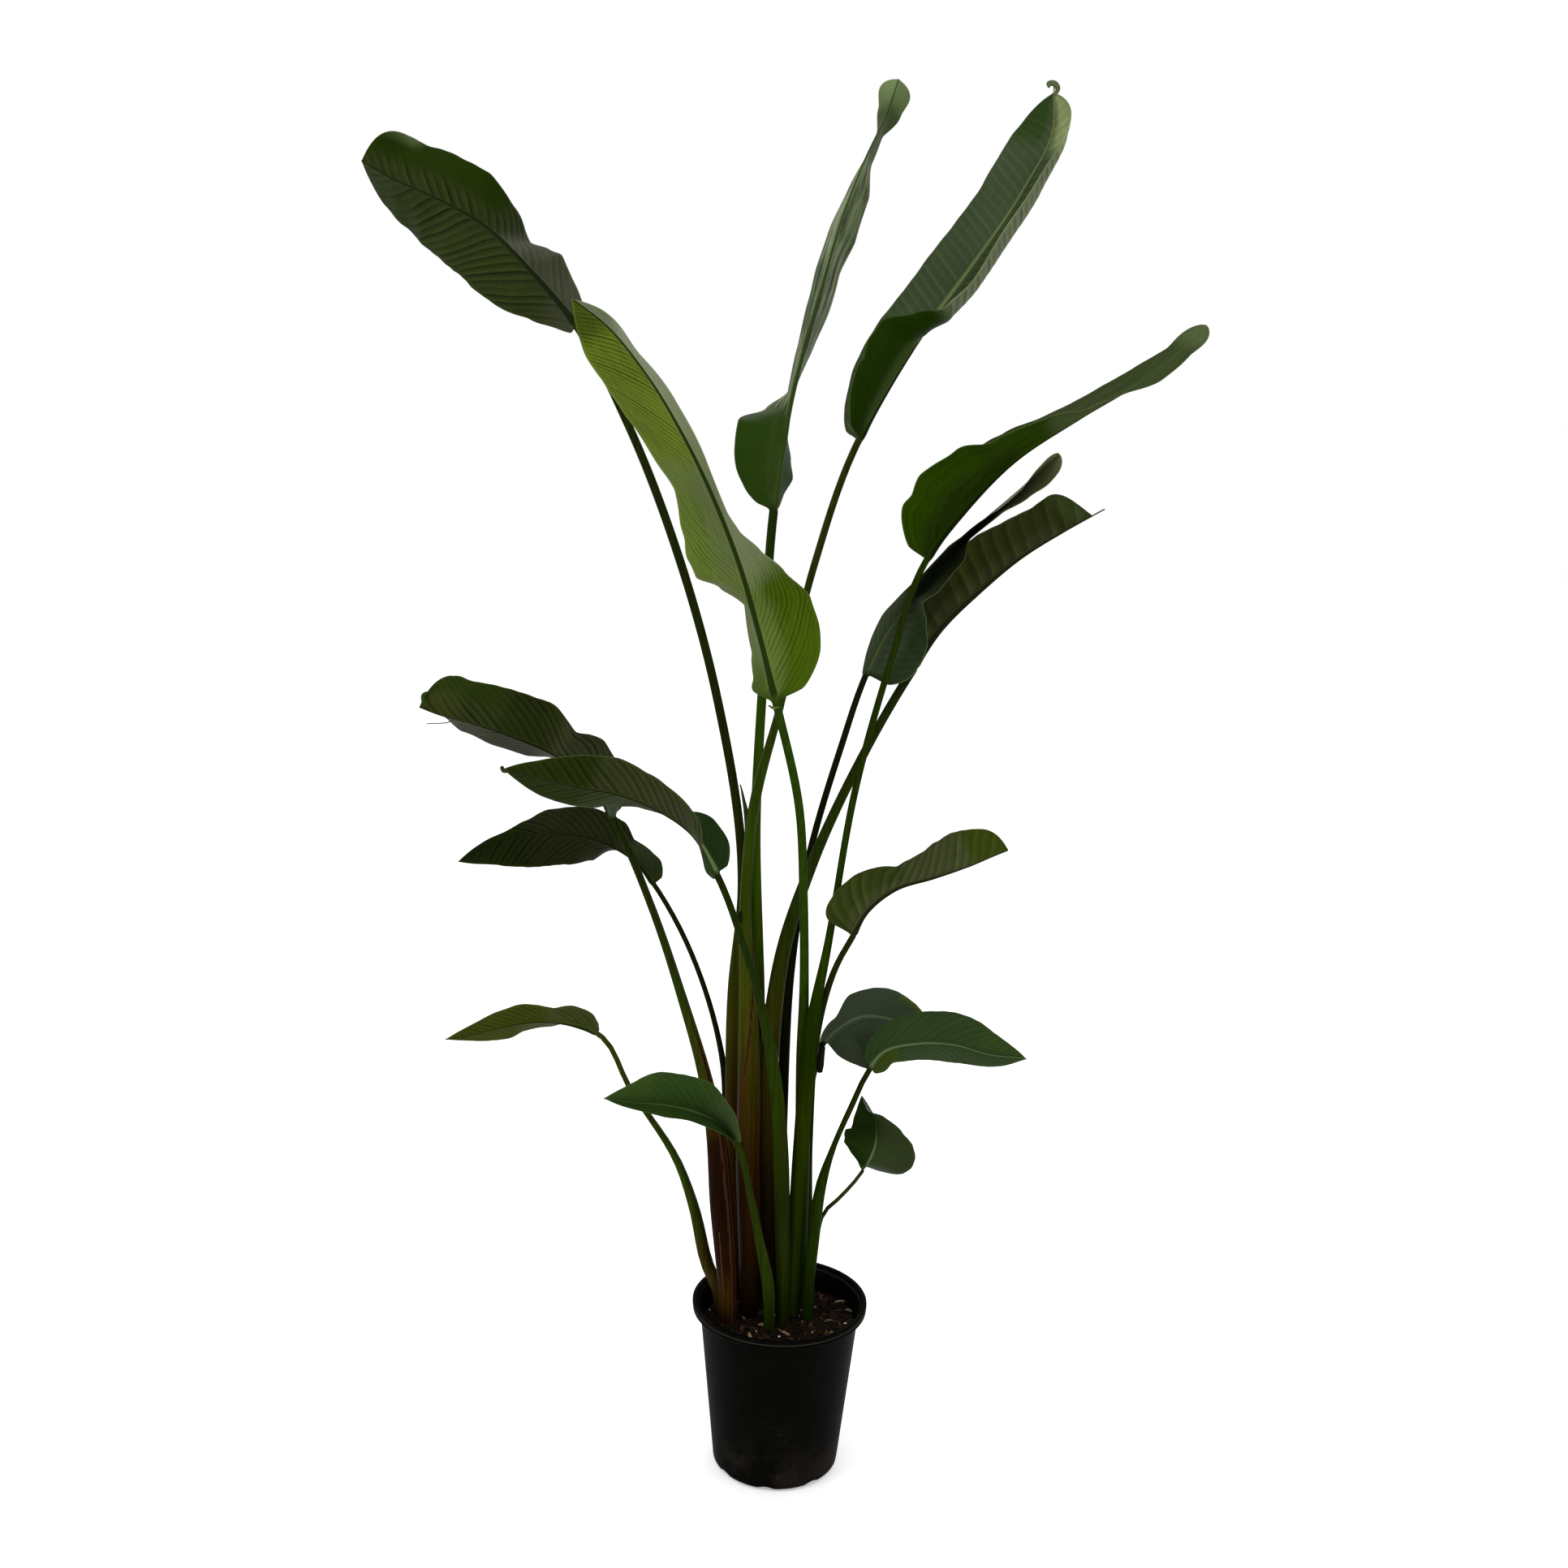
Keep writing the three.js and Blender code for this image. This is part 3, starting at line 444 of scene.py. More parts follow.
# %% [markdown]
# Straight lines between these points would give a stalk with corners. A smooth course runs through
# them instead, and its slope at each point is weighed from the stretch before and the stretch after,
# so it neither kinks nor swings wide. The angles of the half blades change in the same easy way, and
# the outline swells to its widest place and then closes at the tip.


# %% Smooth course and turning angles
def course_through(rows):
    points = np.array(rows, float)
    steps = np.linalg.norm(np.diff(points[:, :3], axis=0), axis=1)
    marks = np.concatenate([[0], np.cumsum(steps)])
    pace = np.diff(points, axis=0) / steps[:, None]
    before, after = steps[:-1, None], steps[1:, None]
    slope = np.vstack([[0, 0, 1, 0], (after * pace[:-1] + before * pace[1:]) / (before + after), pace[-1:]])

    def at(s):
        s = np.clip(np.atleast_1d(s), 0, marks[-1])
        i = np.clip(np.searchsorted(marks, s, side="right") - 1, 0, len(points) - 2)
        h = steps[i][:, None]
        u = (s - marks[i])[:, None] / h
        return (points[i] * (2 * u ** 3 - 3 * u * u + 1) + slope[i] * h * (u ** 3 - 2 * u * u + u)
                + points[i + 1] * (3 * u * u - 2 * u ** 3) + slope[i + 1] * h * (u ** 3 - u * u))

    def heading(s):
        ahead = (at(s + 0.5) - at(s - 0.5))[:, :3]
        ahead = ahead / np.linalg.norm(ahead, axis=1)[:, None]
        ahead[np.atleast_1d(s) < 1e-6] = (0, 0, 1)
        return ahead

    return marks, at, heading


def ease(u):
    u = np.clip(u, 0, 1)
    return u * u * (3 - 2 * u)


def turn_at(rows, t):
    full = [tuple(row) + (0, 0) if len(row) == 3 else tuple(row) for row in rows]
    if t <= 0:
        return np.array(full[0][1:], float)
    for before, after in zip(full, full[1:]):
        if t <= after[0]:
            u = (t - before[0]) / (after[0] - before[0])
            soft = 0.5 * (u + ease(u))
            return (1 - soft) * np.array(before[1:], float) + soft * np.array(after[1:], float)
    return np.array(full[-1][1:], float)


def blade_outline(t, leaf):
    widest = leaf["widest"]
    if t < widest:
        return (1 - ((widest - t) / widest) ** 2.4) ** 0.6
    return max(0.0, 1 - ((t - widest) / (1 - widest)) ** leaf["tip"]) ** leaf.get("round", 1)


shares = [round(blade_outline(t / 5, LEAVES["leaf_bright"]), 2) for t in range(6)]
print("half width shares of the bright blade:", shares)

# %% [markdown]
# A leaf's skin is a tube of rings, all with the same number of points. On the stalk a ring is a
# rounded D with a channel on its upper side, and low down it becomes a spiral, because a sheath is
# a leaf base wrapped round the rest with one free edge. Angles are measured across the leaf's own
# course, so the same number means the same side however the stalk leans.

# %% Ring of the stalk
HALF = 20          # points from the rib to a margin
RIM = 2 * (2 * HALF + 1)
CHANNEL_DEPTH, CHANNEL_WIDTH, SHEATH_STEP = 0.16, 0.42, 1.6


def sideways(heading):
    away = np.array([0.0, 1.0, 0.0]) - heading * heading[1]
    away /= np.linalg.norm(away)
    to_right = np.cross(away, heading)

    def toward(degrees):
        a = np.radians(np.atleast_1d(degrees))[:, None]
        return to_right * np.cos(a) - away * np.sin(a)

    return toward


def stalk_ring(centre, toward, up_angle, sign, width, sheath, edge_angle):
    """Round section with the petiole's channel, or a sheath's spiral with its free edge."""
    a = 2 * np.pi * (np.arange(RIM) + 0.5) / RIM
    channel = CHANNEL_DEPTH * (1 - sheath) * np.exp(-((a - np.pi / 2) / CHANNEL_WIDTH) ** 2)
    wrapped = ((np.degrees(a) - (sign * (edge_angle - up_angle) + 90)) % 360) / 360
    spiral = sheath * (SHEATH_STEP / width) * (wrapped - 0.5)
    radius = width * (1 - channel + spiral)
    across, upward = toward(up_angle - 90 * sign), toward(up_angle)
    places = (centre + across * (np.cos(a) * radius)[:, None]
              + upward * (np.sin(a) * radius * STALK_FLAT)[:, None])
    edge = np.minimum(wrapped, 1 - wrapped) * 2 * np.pi * width
    return places, edge


print(RIM, "points in a ring")

# %% [markdown]
# One half blade is a line of points from the rib to the margin, which leaves the rib at its angle
# and curls on the way out. The margin is never quite even: two small waves run along it, a slower
# ripple lifts and drops it, and a nick widens or narrows one half near one place. Each point also
# gets its tone: the plain tone of its face, changed softly by every spot that it lies in.

# %% Half blade and its tones
UNEVEN = ((0.005, 43, 1, 1), (0.004, 97, 2, 0))     # share of the width, pace, phases, leaf's own phase
RIPPLE_PACE = 17
SOFT_ALONG, SOFT_ACROSS = 0.06, 0.3


def half_blade(leaf, look, half, toward, angle, curl, side, reach, share, rib, t, phase, order):
    """Middle line of one half blade: offsets from the rib, face normals and distances."""
    width = reach * share * (1 + sum(swing * math.sin(pace * t + phases * phase + own * order)
                                     for swing, pace, phases, own in UNEVEN))
    for halves, middle, swell, spread in look["nicks"]:
        if half in halves:
            width += swell * math.exp(-((t - middle) / spread) ** 2)
    width = max(rib * 1.5, width)
    inner = rib * np.array([0.35, 0.7, 1.05, 1.4])
    out = np.concatenate([inner, inner[-1] + (width - inner[-1]) * np.linspace(0, 1, HALF - 3)[1:] ** 0.95])
    before = np.concatenate([[0], out[:-1]])
    a = angle + side * curl * (out + before) / 2 / width
    spot = np.cumsum(toward(a) * (out - before)[:, None], axis=0)
    face = toward(a + 90 * side)
    part = out / width
    ripple = leaf["wave"] * share * part ** 2 * math.sin(RIPPLE_PACE * t + phase + order)
    return out, width, part, spot + face * ripple[:, None], face


def tones(look, t, half, face, part):
    """Tone and vein strength of points on one face of one half: the plain tone and its soft spots."""
    tone = np.tile(paint(*look[face]), (len(part), 1))
    veins = np.full(len(part), look["veins"])
    for halves, faces, start, end, inner, outer, shade, share, vein_share in look["spots"]:
        if half not in halves or faces not in (face, "both"):
            continue
        along = ease((t - start) / SOFT_ALONG + 0.5) * ease((end - t) / SOFT_ALONG + 0.5)
        weight = (share * along * ease((part - inner) / SOFT_ACROSS + 0.5)
                  * ease((outer - part) / SOFT_ACROSS + 0.5))
        tone += (np.array(paint(*shade)) - tone) * weight[:, None]
        veins *= 1 + (vein_share - 1) * weight / max(share, 0.01)
    return tone, veins


print("margin waves:", len(UNEVEN))

# %% [markdown]
# In the blade the ring is pressed flat: out along the upper face, round the thin margin, back along
# the lower face and over the keel of the midrib. The veins leave the rib at a slant and run side by
# side to the margin. They are raised in the mesh, since they catch the light, and their count is
# kept on the points for the finish to use.


# %% Ring of the blade
LOBE_LENGTH, OTHER_PHASE = 0.12, 2.1
VEIN_RUN, VEIN_BEND = 9, 7          # how far a vein runs beside the rib, and how soon it bends away
CALM_RIB, CALM_MARGIN = 9, 12       # millimetres beside rib and margin where the relief fades
HALF_THICK, THINNER = 0.36, 0.14
GROOVE_DEPTH, KEEL_DEPTH, KEEL_WIDTH = 0.22, 1.3, 1.7


def blade_ring(leaf, look, centre, heading, toward, s, t, rib, order):
    """One flat ring with, for each point, the vein count, distances, tone and the face it is on."""
    angle_a, angle_b, curl_a, curl_b = turn_at(leaf["turn"], t)
    sign = 1 if angle_b > angle_a else -1
    share = blade_outline(min(1, t / (1 - leaf.get("bare", 0))), leaf)
    lean = leaf["lobe"] * math.exp(-t / LOBE_LENGTH) * share
    upper, lower, counts, ribs, margins, skins = [], [], [], [], [], []
    for half, angle, curl, side, reach, phase in (
            ("A", angle_a, curl_a, sign, leaf["half"][0], 0),
            ("B", angle_b, curl_b, -sign, leaf["half"][1], OTHER_PHASE)):
        out, width, part, place, face = half_blade(
            leaf, look, half, toward, angle, curl, side, reach, share, rib, t, phase, order)
        place = place - heading * (lean * reach * part ** 1.6)[:, None]
        sweep = out * (look["slant"] + look["sweep"] * part)
        count = (s - sweep - VEIN_RUN * (1 - np.exp(-out / VEIN_BEND))) / look["spacing"]
        calm = ease((out - rib) / CALM_RIB) * (0.35 + 0.65 * ease((width - out) / CALM_MARGIN)) * share
        pleat = np.abs(np.sin(np.pi * count)) ** 0.7 - 0.6
        skin = {key: tones(look, t, half, key, part) for key in ("upper", "under")}
        steady = np.clip(skin["under"][1], 0.15, 1)
        place = place - face * (look["ribs"] * calm * pleat * steady)[:, None]
        thin = BLADE * (HALF_THICK - THINNER * part)
        groove = rib * (GROOVE_DEPTH * np.exp(-((out / rib - 1.1) / 0.45) ** 2) - 0.12) * (out < 2.2 * rib)
        keel = KEEL_DEPTH * rib * np.cos(np.pi / 2 * np.clip(out / (KEEL_WIDTH * rib), 0, 1)) ** 1.3
        upper.append(centre + place + face * (thin + groove)[:, None])
        lower.append(centre + place - face * (thin + keel)[:, None])
        counts.append(count)
        ribs.append(out / rib)
        margins.append(width - out)
        skins.append(skin)

    def round_the_ring(a, b, middle):
        return np.concatenate([a[::-1], [middle], b])

    def both_faces(values, middle):
        flat = round_the_ring(values[0], values[1], middle)
        return np.concatenate([flat, flat[::-1]])

    def skin_around(k):
        flat = {key: round_the_ring(skins[0][key][k], skins[1][key][k], skins[0][key][k][0])
                for key in ("upper", "under")}
        return np.concatenate([flat["upper"], flat["under"][::-1]])

    top = toward((angle_a + angle_b) / 2)
    peak = BLADE * HALF_THICK
    places = np.vstack([upper[0][::-1], centre + top * (peak - 0.1 * rib), upper[1],
                        lower[1][::-1], centre - top * (peak + KEEL_DEPTH * rib), lower[0]])
    return places, {
        "vein_count": both_faces(counts, s / look["spacing"]),
        "from_rib": both_faces(ribs, 0.0),
        "from_margin": both_faces(margins, max(margins[0][0], margins[1][0])),
        "upper_face": np.concatenate([np.ones(2 * HALF + 1), np.zeros(2 * HALF + 1)]),
        "tone": skin_around(0),
        "veins": skin_around(1),
    }


edges = [round(2 * BLADE * thick, 2) for thick in (HALF_THICK, HALF_THICK - THINNER)]
print("blade thickness from rib to margin, millimetres:", edges)

# %% [markdown]
# No two leaves look alike. Some show their olive underside with dark creases, others the blue-green
# face with light veins, and the old sheaths at the foot of the trunk turn red-brown and dry. So each
# leaf has a short list of tones and sizes. What isn't named falls back on a plain leaf.
#
# Spacing is the distance between side veins, slant and sweep say how they lean, ribs how high they
# stand, and veins, fine, vein_under and vein_upper how strongly they show; a negative vein_under or
# vein_upper darkens the creases as painted shade. Streaks run lengthwise.
# Rib_width is the part of the rib that has a tone of its own. Sheath is the height where the sheath
# ends, edge the angle of its free edge at the floor, edge_turn its turn for each millimetre up and
# dry_width its dry rim. A nick is a half, a place along the blade, millimetres and a length.
#
# A spot changes the tone softly over part of a blade: which halves, which face, from where to where
# along the leaf and from rib to margin, its tone, its strength, and how strong the veins stay there.
# Some of these tones also hold painted sheen, greyer where a waxy face mirrors the light.
# The tones of a stalk are given at a few heights, in millimetres, and run into each other.

# %% Looks of the leaves
PLAIN_LEAF = {
    "spacing": 16, "slant": 0.6, "sweep": 0.4, "ribs": 0.7, "veins": 0.7, "fine": 0.4,
    "streaks": 0.15, "streak_width": 4, "rib_width": 1.0, "edge_turn": 0.02, "dry_width": 1.8,
    "shine": 0.012, "nicks": [],
    "vein_under": -0.55, "vein_upper": 0.5, "under": (38, 46, 17), "upper": (40, 55, 28),
    "rib_under": (16, 22, 5), "rib_upper": (84, 100, 54), "margin": 0.5,
    "sheath": 620, "edge": -70, "spots": [], "stalk": [(215, (28, 36, 14)), (1200, (26, 34, 14))],
}
OWN_LOOKS = {
    "leaf_upper_left": {
        "veins": 0.75, "slant": 0.7, "under": (38, 47, 17), "rib_under": (20, 28, 9), "rib_width": 0.75,
        "sheath": 800,
        "spots": [("A", "under", -0.1, 0.42, 0, 1.2, (58, 61, 44), 0.9, 0.5),
                  ("A", "under", -0.1, 0.12, -0.2, 1.2, (52, 56, 38), 0.8, 0.5),
                  ("B", "under", -0.1, 0.16, 0, 1.2, (46, 50, 30), 0.8, 0.6),
                  ("A", "under", 0.5, 1.1, 0.42, 1.3, (28, 42, 3), 1, 0.1),
                  # Painted highlight: the pale patch near the tip.
                  ("A", "under", 0.87, 0.96, 0.85, 1.3, (84, 98, 62), 0.6, 0),
                  ("B", "under", 0.25, 0.7, 0, 1.2, (40, 50, 20), 0.7, 1),
                  ("B", "under", 0.8, 1.1, 0.3, 1.3, (30, 42, 8), 0.7, 0.5)],
        "stalk": [(215, (24, 12, 6)), (330, (54, 26, 14)), (430, (54, 34, 14)), (520, (62, 46, 15)),
                  (640, (62, 62, 17)), (760, (50, 56, 15)), (830, (34, 44, 20)), (1500, (30, 40, 22))]},
    # The bright leaf's light yellow-green tones stand partly for the light falling on this blade, so they are
    # partly painted light.
    "leaf_bright": {
        "spacing": 10, "slant": 0.75, "veins": 0.6, "fine": 0.8, "ribs": 0.3, "vein_upper": -0.3,
        "vein_under": -0.3, "streaks": 0.3, "rib_width": 0.48,
        "nicks": [("B", 0.02, 14, 0.035), ("B", 0.055, -5, 0.012), ("B", 0.085, 4, 0.012)],
        "under": (88, 104, 42), "upper": (88, 104, 42), "rib_under": (30, 42, 8),
        "rib_upper": (30, 42, 8), "sheath": 700,
        "spots": [("AB", "both", -0.1, 0.1, 0, 1.2, (78, 94, 34), 0.6, 1),
                  ("A", "both", -0.1, 0.3, 0.25, 1.3, (60, 80, 3), 0.95, 1),
                  ("A", "both", 0.02, 0.3, -0.3, 0.35, (88, 104, 46), 0.6, 1),
                  ("B", "both", -0.1, 0.07, 0.3, 1.3, (62, 80, 14), 0.8, 1.4),
                  ("A", "both", 0.27, 0.9, 0, 1.2, (108, 119, 78), 0.9, 0.6),
                  ("A", "both", 0.88, 1.1, 0, 1.2, (62, 78, 12), 0.9, 1),
                  ("B", "both", 0.1, 0.3, 0, 1.2, (80, 94, 40), 0.7, 0.7),
                  ("B", "both", 0.3, 0.47, 0.45, 1.3, (82, 100, 34), 0.8, 1),
                  ("B", "both", 0.3, 0.55, -0.4, 0.45, (84, 96, 54), 0.8, 0.6),
                  ("B", "both", 0.58, 0.93, 0, 1.2, (88, 106, 20), 0.85, 1.5),
                  ("B", "both", 0.91, 1.1, 0, 1.2, (56, 70, 8), 0.9, 1.2)],
        "stalk": [(215, (26, 44, 14)), (400, (34, 50, 14)), (600, (44, 66, 14)), (800, (40, 66, 14)),
                  (1100, (42, 66, 22))]},
    "leaf_spire": {
        "spacing": 10, "veins": 0.12, "fine": 0.1, "ribs": 0.15, "vein_upper": -0.4, "under": (88, 98, 70),
        "upper": (84, 94, 66), "rib_under": (46, 62, 22), "rib_upper": (46, 62, 22), "rib_width": 0.3,
        "sheath": 760, "streaks": 3.0, "streak_width": 12,
        "nicks": [("AB", 0.95, -8, 0.045)],
        "spots": [("B", "both", -0.1, 0.24, 0.2, 1.3, (29, 52, 2), 0.95, 0.15),
                  ("B", "both", -0.1, 0.24, -0.3, 0.3, (36, 54, 10), 0.95, 0.4),
                  ("A", "both", -0.1, 0.24, 0, 1.2, (32, 48, 10), 0.95, 0.3),
                  ("B", "both", 0.42, 0.6, 0.3, 1.3, (48, 64, 28), 0.85, 1),
                  ("A", "both", 0.62, 0.8, 0, 1.3, (66, 78, 46), 0.6, 1),
                  ("AB", "both", 0.82, 0.965, 0, 1.2, (44, 58, 12), 0.9, 0.3),
                  ("AB", "both", 0.955, 1.1, 0, 1.3, (98, 116, 72), 0.9, 0.1)],
        "stalk": [(215, (24, 16, 8)), (600, (46, 54, 14)), (800, (54, 80, 13)), (1100, (46, 72, 15)),
                  (1280, (38, 56, 22)), (1360, (32, 48, 22))]},
    "leaf_upper_right": {
        "spacing": 13, "slant": 0.3, "sweep": 0.1, "veins": 0.65, "vein_upper": 0.4, "under": (94, 102, 76),
        "upper": (54, 65, 42), "rib_upper": (88, 102, 60), "rib_width": 1.2, "sheath": 820, "streaks": 0.3,
        "edge": 432, "edge_turn": -0.55, "dry_width": 4.0,
        "nicks": [("A", 0.17, -4, 0.014), ("A", 0.21, 3, 0.012)],
        "spots": [("A", "under", -0.1, 0.36, 0, 1.3, (24, 43, 0), 1, 0.15),
                  ("A", "under", 0.04, 0.34, -0.3, 0.28, (54, 72, 26), 0.7, 1.4),
                  ("A", "upper", 0.3, 0.8, 0, 1.2, (44, 56, 28), 0.7, 1.6),
                  ("AB", "under", 0.84, 1.1, 0, 1.3, (118, 130, 84), 0.9, 0.5),
                  ("A", "upper", 0.85, 1.1, 0.1, 1.3, (122, 132, 88), 0.9, 0.6),
                  ("B", "upper", 0.86, 1.1, 0.2, 1.3, (36, 56, 18), 0.8, 0.6)],
        "stalk": [(215, (20, 10, 5)), (250, (42, 25, 15)), (320, (50, 30, 18)), (420, (52, 28, 14)),
                  (500, (64, 46, 17)), (580, (66, 60, 18)), (700, (66, 74, 18)), (800, (58, 70, 15)),
                  (930, (50, 72, 14)), (1100, (44, 58, 24)), (1400, (42, 54, 26))]},
    "leaf_right_high": {
        "spacing": 14, "veins": 0.6, "ribs": 0.5, "under": (32, 48, 8), "upper": (42, 56, 28),
        "sheath": 740, "margin": 0.8, "streaks": 0.7, "streak_width": 9, "shine": 0.0,
        "nicks": [("A", 0.13, -5, 0.02), ("A", 0.18, 4, 0.02), ("A", 0.29, 5, 0.02), ("A", 0.34, -5, 0.02)],
        "spots": [("A", "under", -0.1, 0.6, 0, 1.3, (29, 46, 3), 0.7, 0.15),
                  ("A", "under", 0.03, 0.3, 0.55, 1.3, (32, 52, 1), 0.8, 1),
                  ("A", "under", 0.0, 0.4, -0.3, 0.4, (22, 35, 4), 0.8, 1),
                  ("AB", "both", 0.5, 0.95, 0, 1.2, (54, 64, 36), 0.9, 0.6),
                  ("AB", "both", 0.93, 1.1, 0, 1.3, (76, 88, 54), 0.85, 0.2)],
        "stalk": [(215, (42, 56, 14)), (350, (36, 50, 10)), (500, (42, 56, 8)), (620, (30, 46, 6)),
                  (760, (40, 60, 14)), (1000, (38, 52, 24)), (1250, (36, 50, 24))]},
    "leaf_right_back": {
        "spacing": 13, "slant": 0.25, "veins": 0.5, "under": (64, 74, 54), "upper": (56, 66, 46),
        "margin": 1.3,
        "spots": [("A", "both", 0.0, 0.3, 0.5, 1.3, (32, 46, 22), 0.8, 0.6),
                  ("AB", "both", 0.33, 0.7, 0, 1.3, (36, 43, 22), 0.9, 0.4),
                  ("AB", "both", 0.68, 1.1, 0, 1.3, (92, 98, 66), 0.9, 0.4)],
        "stalk": [(215, (14, 18, 8)), (1200, (24, 28, 14))]},
    "leaf_right_dark": {
        "spacing": 22, "slant": 0.2, "sweep": 0.2, "veins": 0.8, "fine": 0.35, "ribs": 0.8, "vein_under": 0.7,
        "under": (35, 40, 11), "rib_under": (26, 29, 10), "sheath": 760, "streaks": 0.2,
        "spots": [("B", "under", -0.1, 0.35, 0.3, 1.3, (26, 30, 10), 0.8, 0.6),
                  ("B", "under", 0.12, 0.8, -0.3, 0.3, (48, 51, 30), 0.6, 1),
                  ("A", "under", -0.1, 1.1, 0, 1.2, (26, 30, 12), 0.8, 0.3),
                  ("B", "under", 0.86, 1.1, 0, 1.3, (46, 58, 26), 0.85, 0.5)],
        "stalk": [(215, (18, 10, 5)), (400, (38, 30, 13)), (560, (64, 60, 21)), (660, (60, 64, 20)),
                  (760, (44, 58, 20)), (900, (40, 54, 24)), (1146, (30, 40, 20))]},
    "leaf_left_top": {
        "spacing": 15, "slant": 0.7, "veins": 0.85, "under": (40, 47, 18), "rib_under": (18, 22, 6),
        "sheath": 670, "edge": 30, "edge_turn": 0.03, "dry_width": 8.0,
        "spots": [("A", "under", 0.14, 0.45, 0, 1.3, (48, 52, 29), 0.85, 1),
                  ("A", "under", 0.42, 0.66, 0, 1.3, (29, 36, 7), 0.7, 0.8),
                  ("A", "under", 0.66, 1.1, 0.5, 1.3, (34, 46, 8), 0.95, 0.35),
                  ("AB", "under", 0.84, 1.1, 0, 0.6, (46, 53, 18), 0.8, 0.6),
                  ("B", "under", 0.35, 1.1, 0, 1.3, (33, 38, 12), 0.95, 0.8),
                  ("AB", "both", -0.1, 0.19, 0, 1.3, (58, 67, 50), 0.9, 0.4)],
        "stalk": [(215, (24, 10, 6)), (250, (74, 48, 24)), (300, (38, 16, 8)), (400, (28, 11, 6)),
                  (480, (36, 16, 8)), (530, (74, 62, 22)), (580, (56, 70, 18)), (700, (42, 56, 16)),
                  (930, (31, 40, 16))]},
    "leaf_left_middle": {
        "spacing": 14, "slant": 0.7, "veins": 0.75, "under": (42, 49, 20), "rib_under": (20, 26, 7),
        "rib_upper": (96, 116, 74), "sheath": 580,
        "spots": [("A", "under", 0.28, 0.66, 0, 1.2, (46, 51, 25), 0.7, 1),
                  ("B", "upper", -0.1, 0.4, 0, 1.3, (27, 43, 16), 1, 0.4),
                  ("A", "under", 0.02, 0.25, 0, 1.3, (48, 54, 27), 0.8, 0.8),
                  ("AB", "under", 0.66, 1.1, 0, 1.2, (29, 40, 5), 0.85, 0.8)],
        "stalk": [(215, (30, 40, 14)), (280, (34, 46, 16)), (400, (29, 39, 6)), (500, (42, 56, 8)),
                  (580, (42, 60, 16)), (700, (34, 50, 20)), (880, (30, 42, 18))]},
    "leaf_left_low_arch": {
        "spacing": 13, "slant": 0.7, "veins": 0.7, "under": (29, 34, 12), "rib_under": (16, 20, 5),
        "spots": [("AB", "both", -0.1, 0.22, 0.1, 1.3, (36, 46, 20), 0.9, 0.4),
                  ("AB", "under", 0.68, 1.1, 0, 1.2, (24, 34, 7), 0.8, 1)],
        "stalk": [(215, (16, 20, 10)), (500, (18, 26, 11)), (850, (26, 36, 16))]},
    "leaf_left_front": {
        "spacing": 11, "slant": 0.8, "veins": 0.6, "under": (50, 58, 11), "upper": (52, 64, 28),
        "rib_under": (26, 34, 6), "sheath": 400, "streaks": 0.5,
        "spots": [("B", "both", 0.4, 0.85, 0, 1.3, (58, 64, 26), 0.8, 0.6),
                  ("AB", "both", 0.09, 0.35, 0, 1.3, (56, 62, 30), 0.7, 0.8),
                  ("AB", "both", -0.1, 0.09, 0, 1.3, (50, 60, 28), 0.8, 0.4)],
        "stalk": [(215, (48, 38, 32)), (250, (80, 70, 60)), (290, (58, 48, 34)), (340, (50, 60, 22)),
                  (420, (50, 68, 20)), (520, (44, 58, 20)), (640, (60, 70, 34))]},
    "leaf_left_small": {
        "spacing": 12, "veins": 0.35, "upper": (39, 59, 22), "under": (42, 60, 16), "margin": 0.3,
        "rib_upper": (84, 108, 60), "sheath": 340,
        "spots": [("A", "both", -0.1, 0.32, 0.1, 1.3, (50, 64, 34), 0.7, 0.6),
                  ("A", "both", 0.7, 1.1, 0, 1.3, (48, 66, 24), 0.7, 0.6)],
        "stalk": [(215, (34, 48, 20)), (290, (46, 62, 26)), (360, (40, 54, 16)), (500, (42, 56, 20))]},
    "leaf_right_middle": {
        "spacing": 13, "slant": 0.15, "sweep": 0.3, "veins": 0.7, "vein_under": 0.6, "under": (54, 60, 32),
        "rib_under": (24, 28, 9), "streaks": 0.3,
        "spots": [("B", "under", -0.1, 0.42, 0.3, 1.3, (41, 50, 13), 0.85, 1),
                  ("B", "under", 0.8, 1.1, 0, 1.3, (46, 58, 6), 0.85, 0.6),
                  ("A", "both", -0.1, 1.1, 0, 1.3, (28, 31, 11), 0.9, 0.3)],
        "stalk": [(215, (28, 38, 12)), (500, (28, 36, 14)), (800, (36, 42, 22))]},
    "leaf_right_low_back": {
        "veins": 0.15, "upper": (50, 60, 43), "under": (42, 50, 30), "rib_upper": (78, 88, 66), "margin": 0.2,
        "spots": [("B", "upper", -0.1, 1.1, 0.3, 1.3, (50, 60, 43), 0.7, 1),
                  ("A", "upper", 0.25, 0.5, 0.3, 1.3, (34, 44, 26), 0.6, 1),
                  ("AB", "both", 0.58, 0.9, 0.85, 1.3, (76, 92, 24), 0.7, 0.5)],
        "stalk": [(215, (18, 26, 10)), (620, (22, 30, 14))]},
    "leaf_right_low_front": {
        "spacing": 14, "slant": 0.8, "veins": 0.35, "upper": (40, 57, 27), "under": (50, 64, 18),
        "rib_upper": (84, 102, 66), "sheath": 420, "margin": 0.3,
        "spots": [("A", "both", -0.1, 0.24, 0, 1.3, (54, 66, 22), 0.9, 0.3),
                  ("A", "both", 0.28, 1.1, 0, 1.2, (46, 60, 34), 0.8, 1.6),
                  ("B", "upper", 0.7, 1.1, 0.2, 1.3, (46, 64, 24), 0.6, 1)],
        "stalk": [(215, (28, 42, 12)), (340, (34, 52, 10)), (430, (36, 52, 12)), (600, (32, 40, 16))]},
    "leaf_right_bottom": {
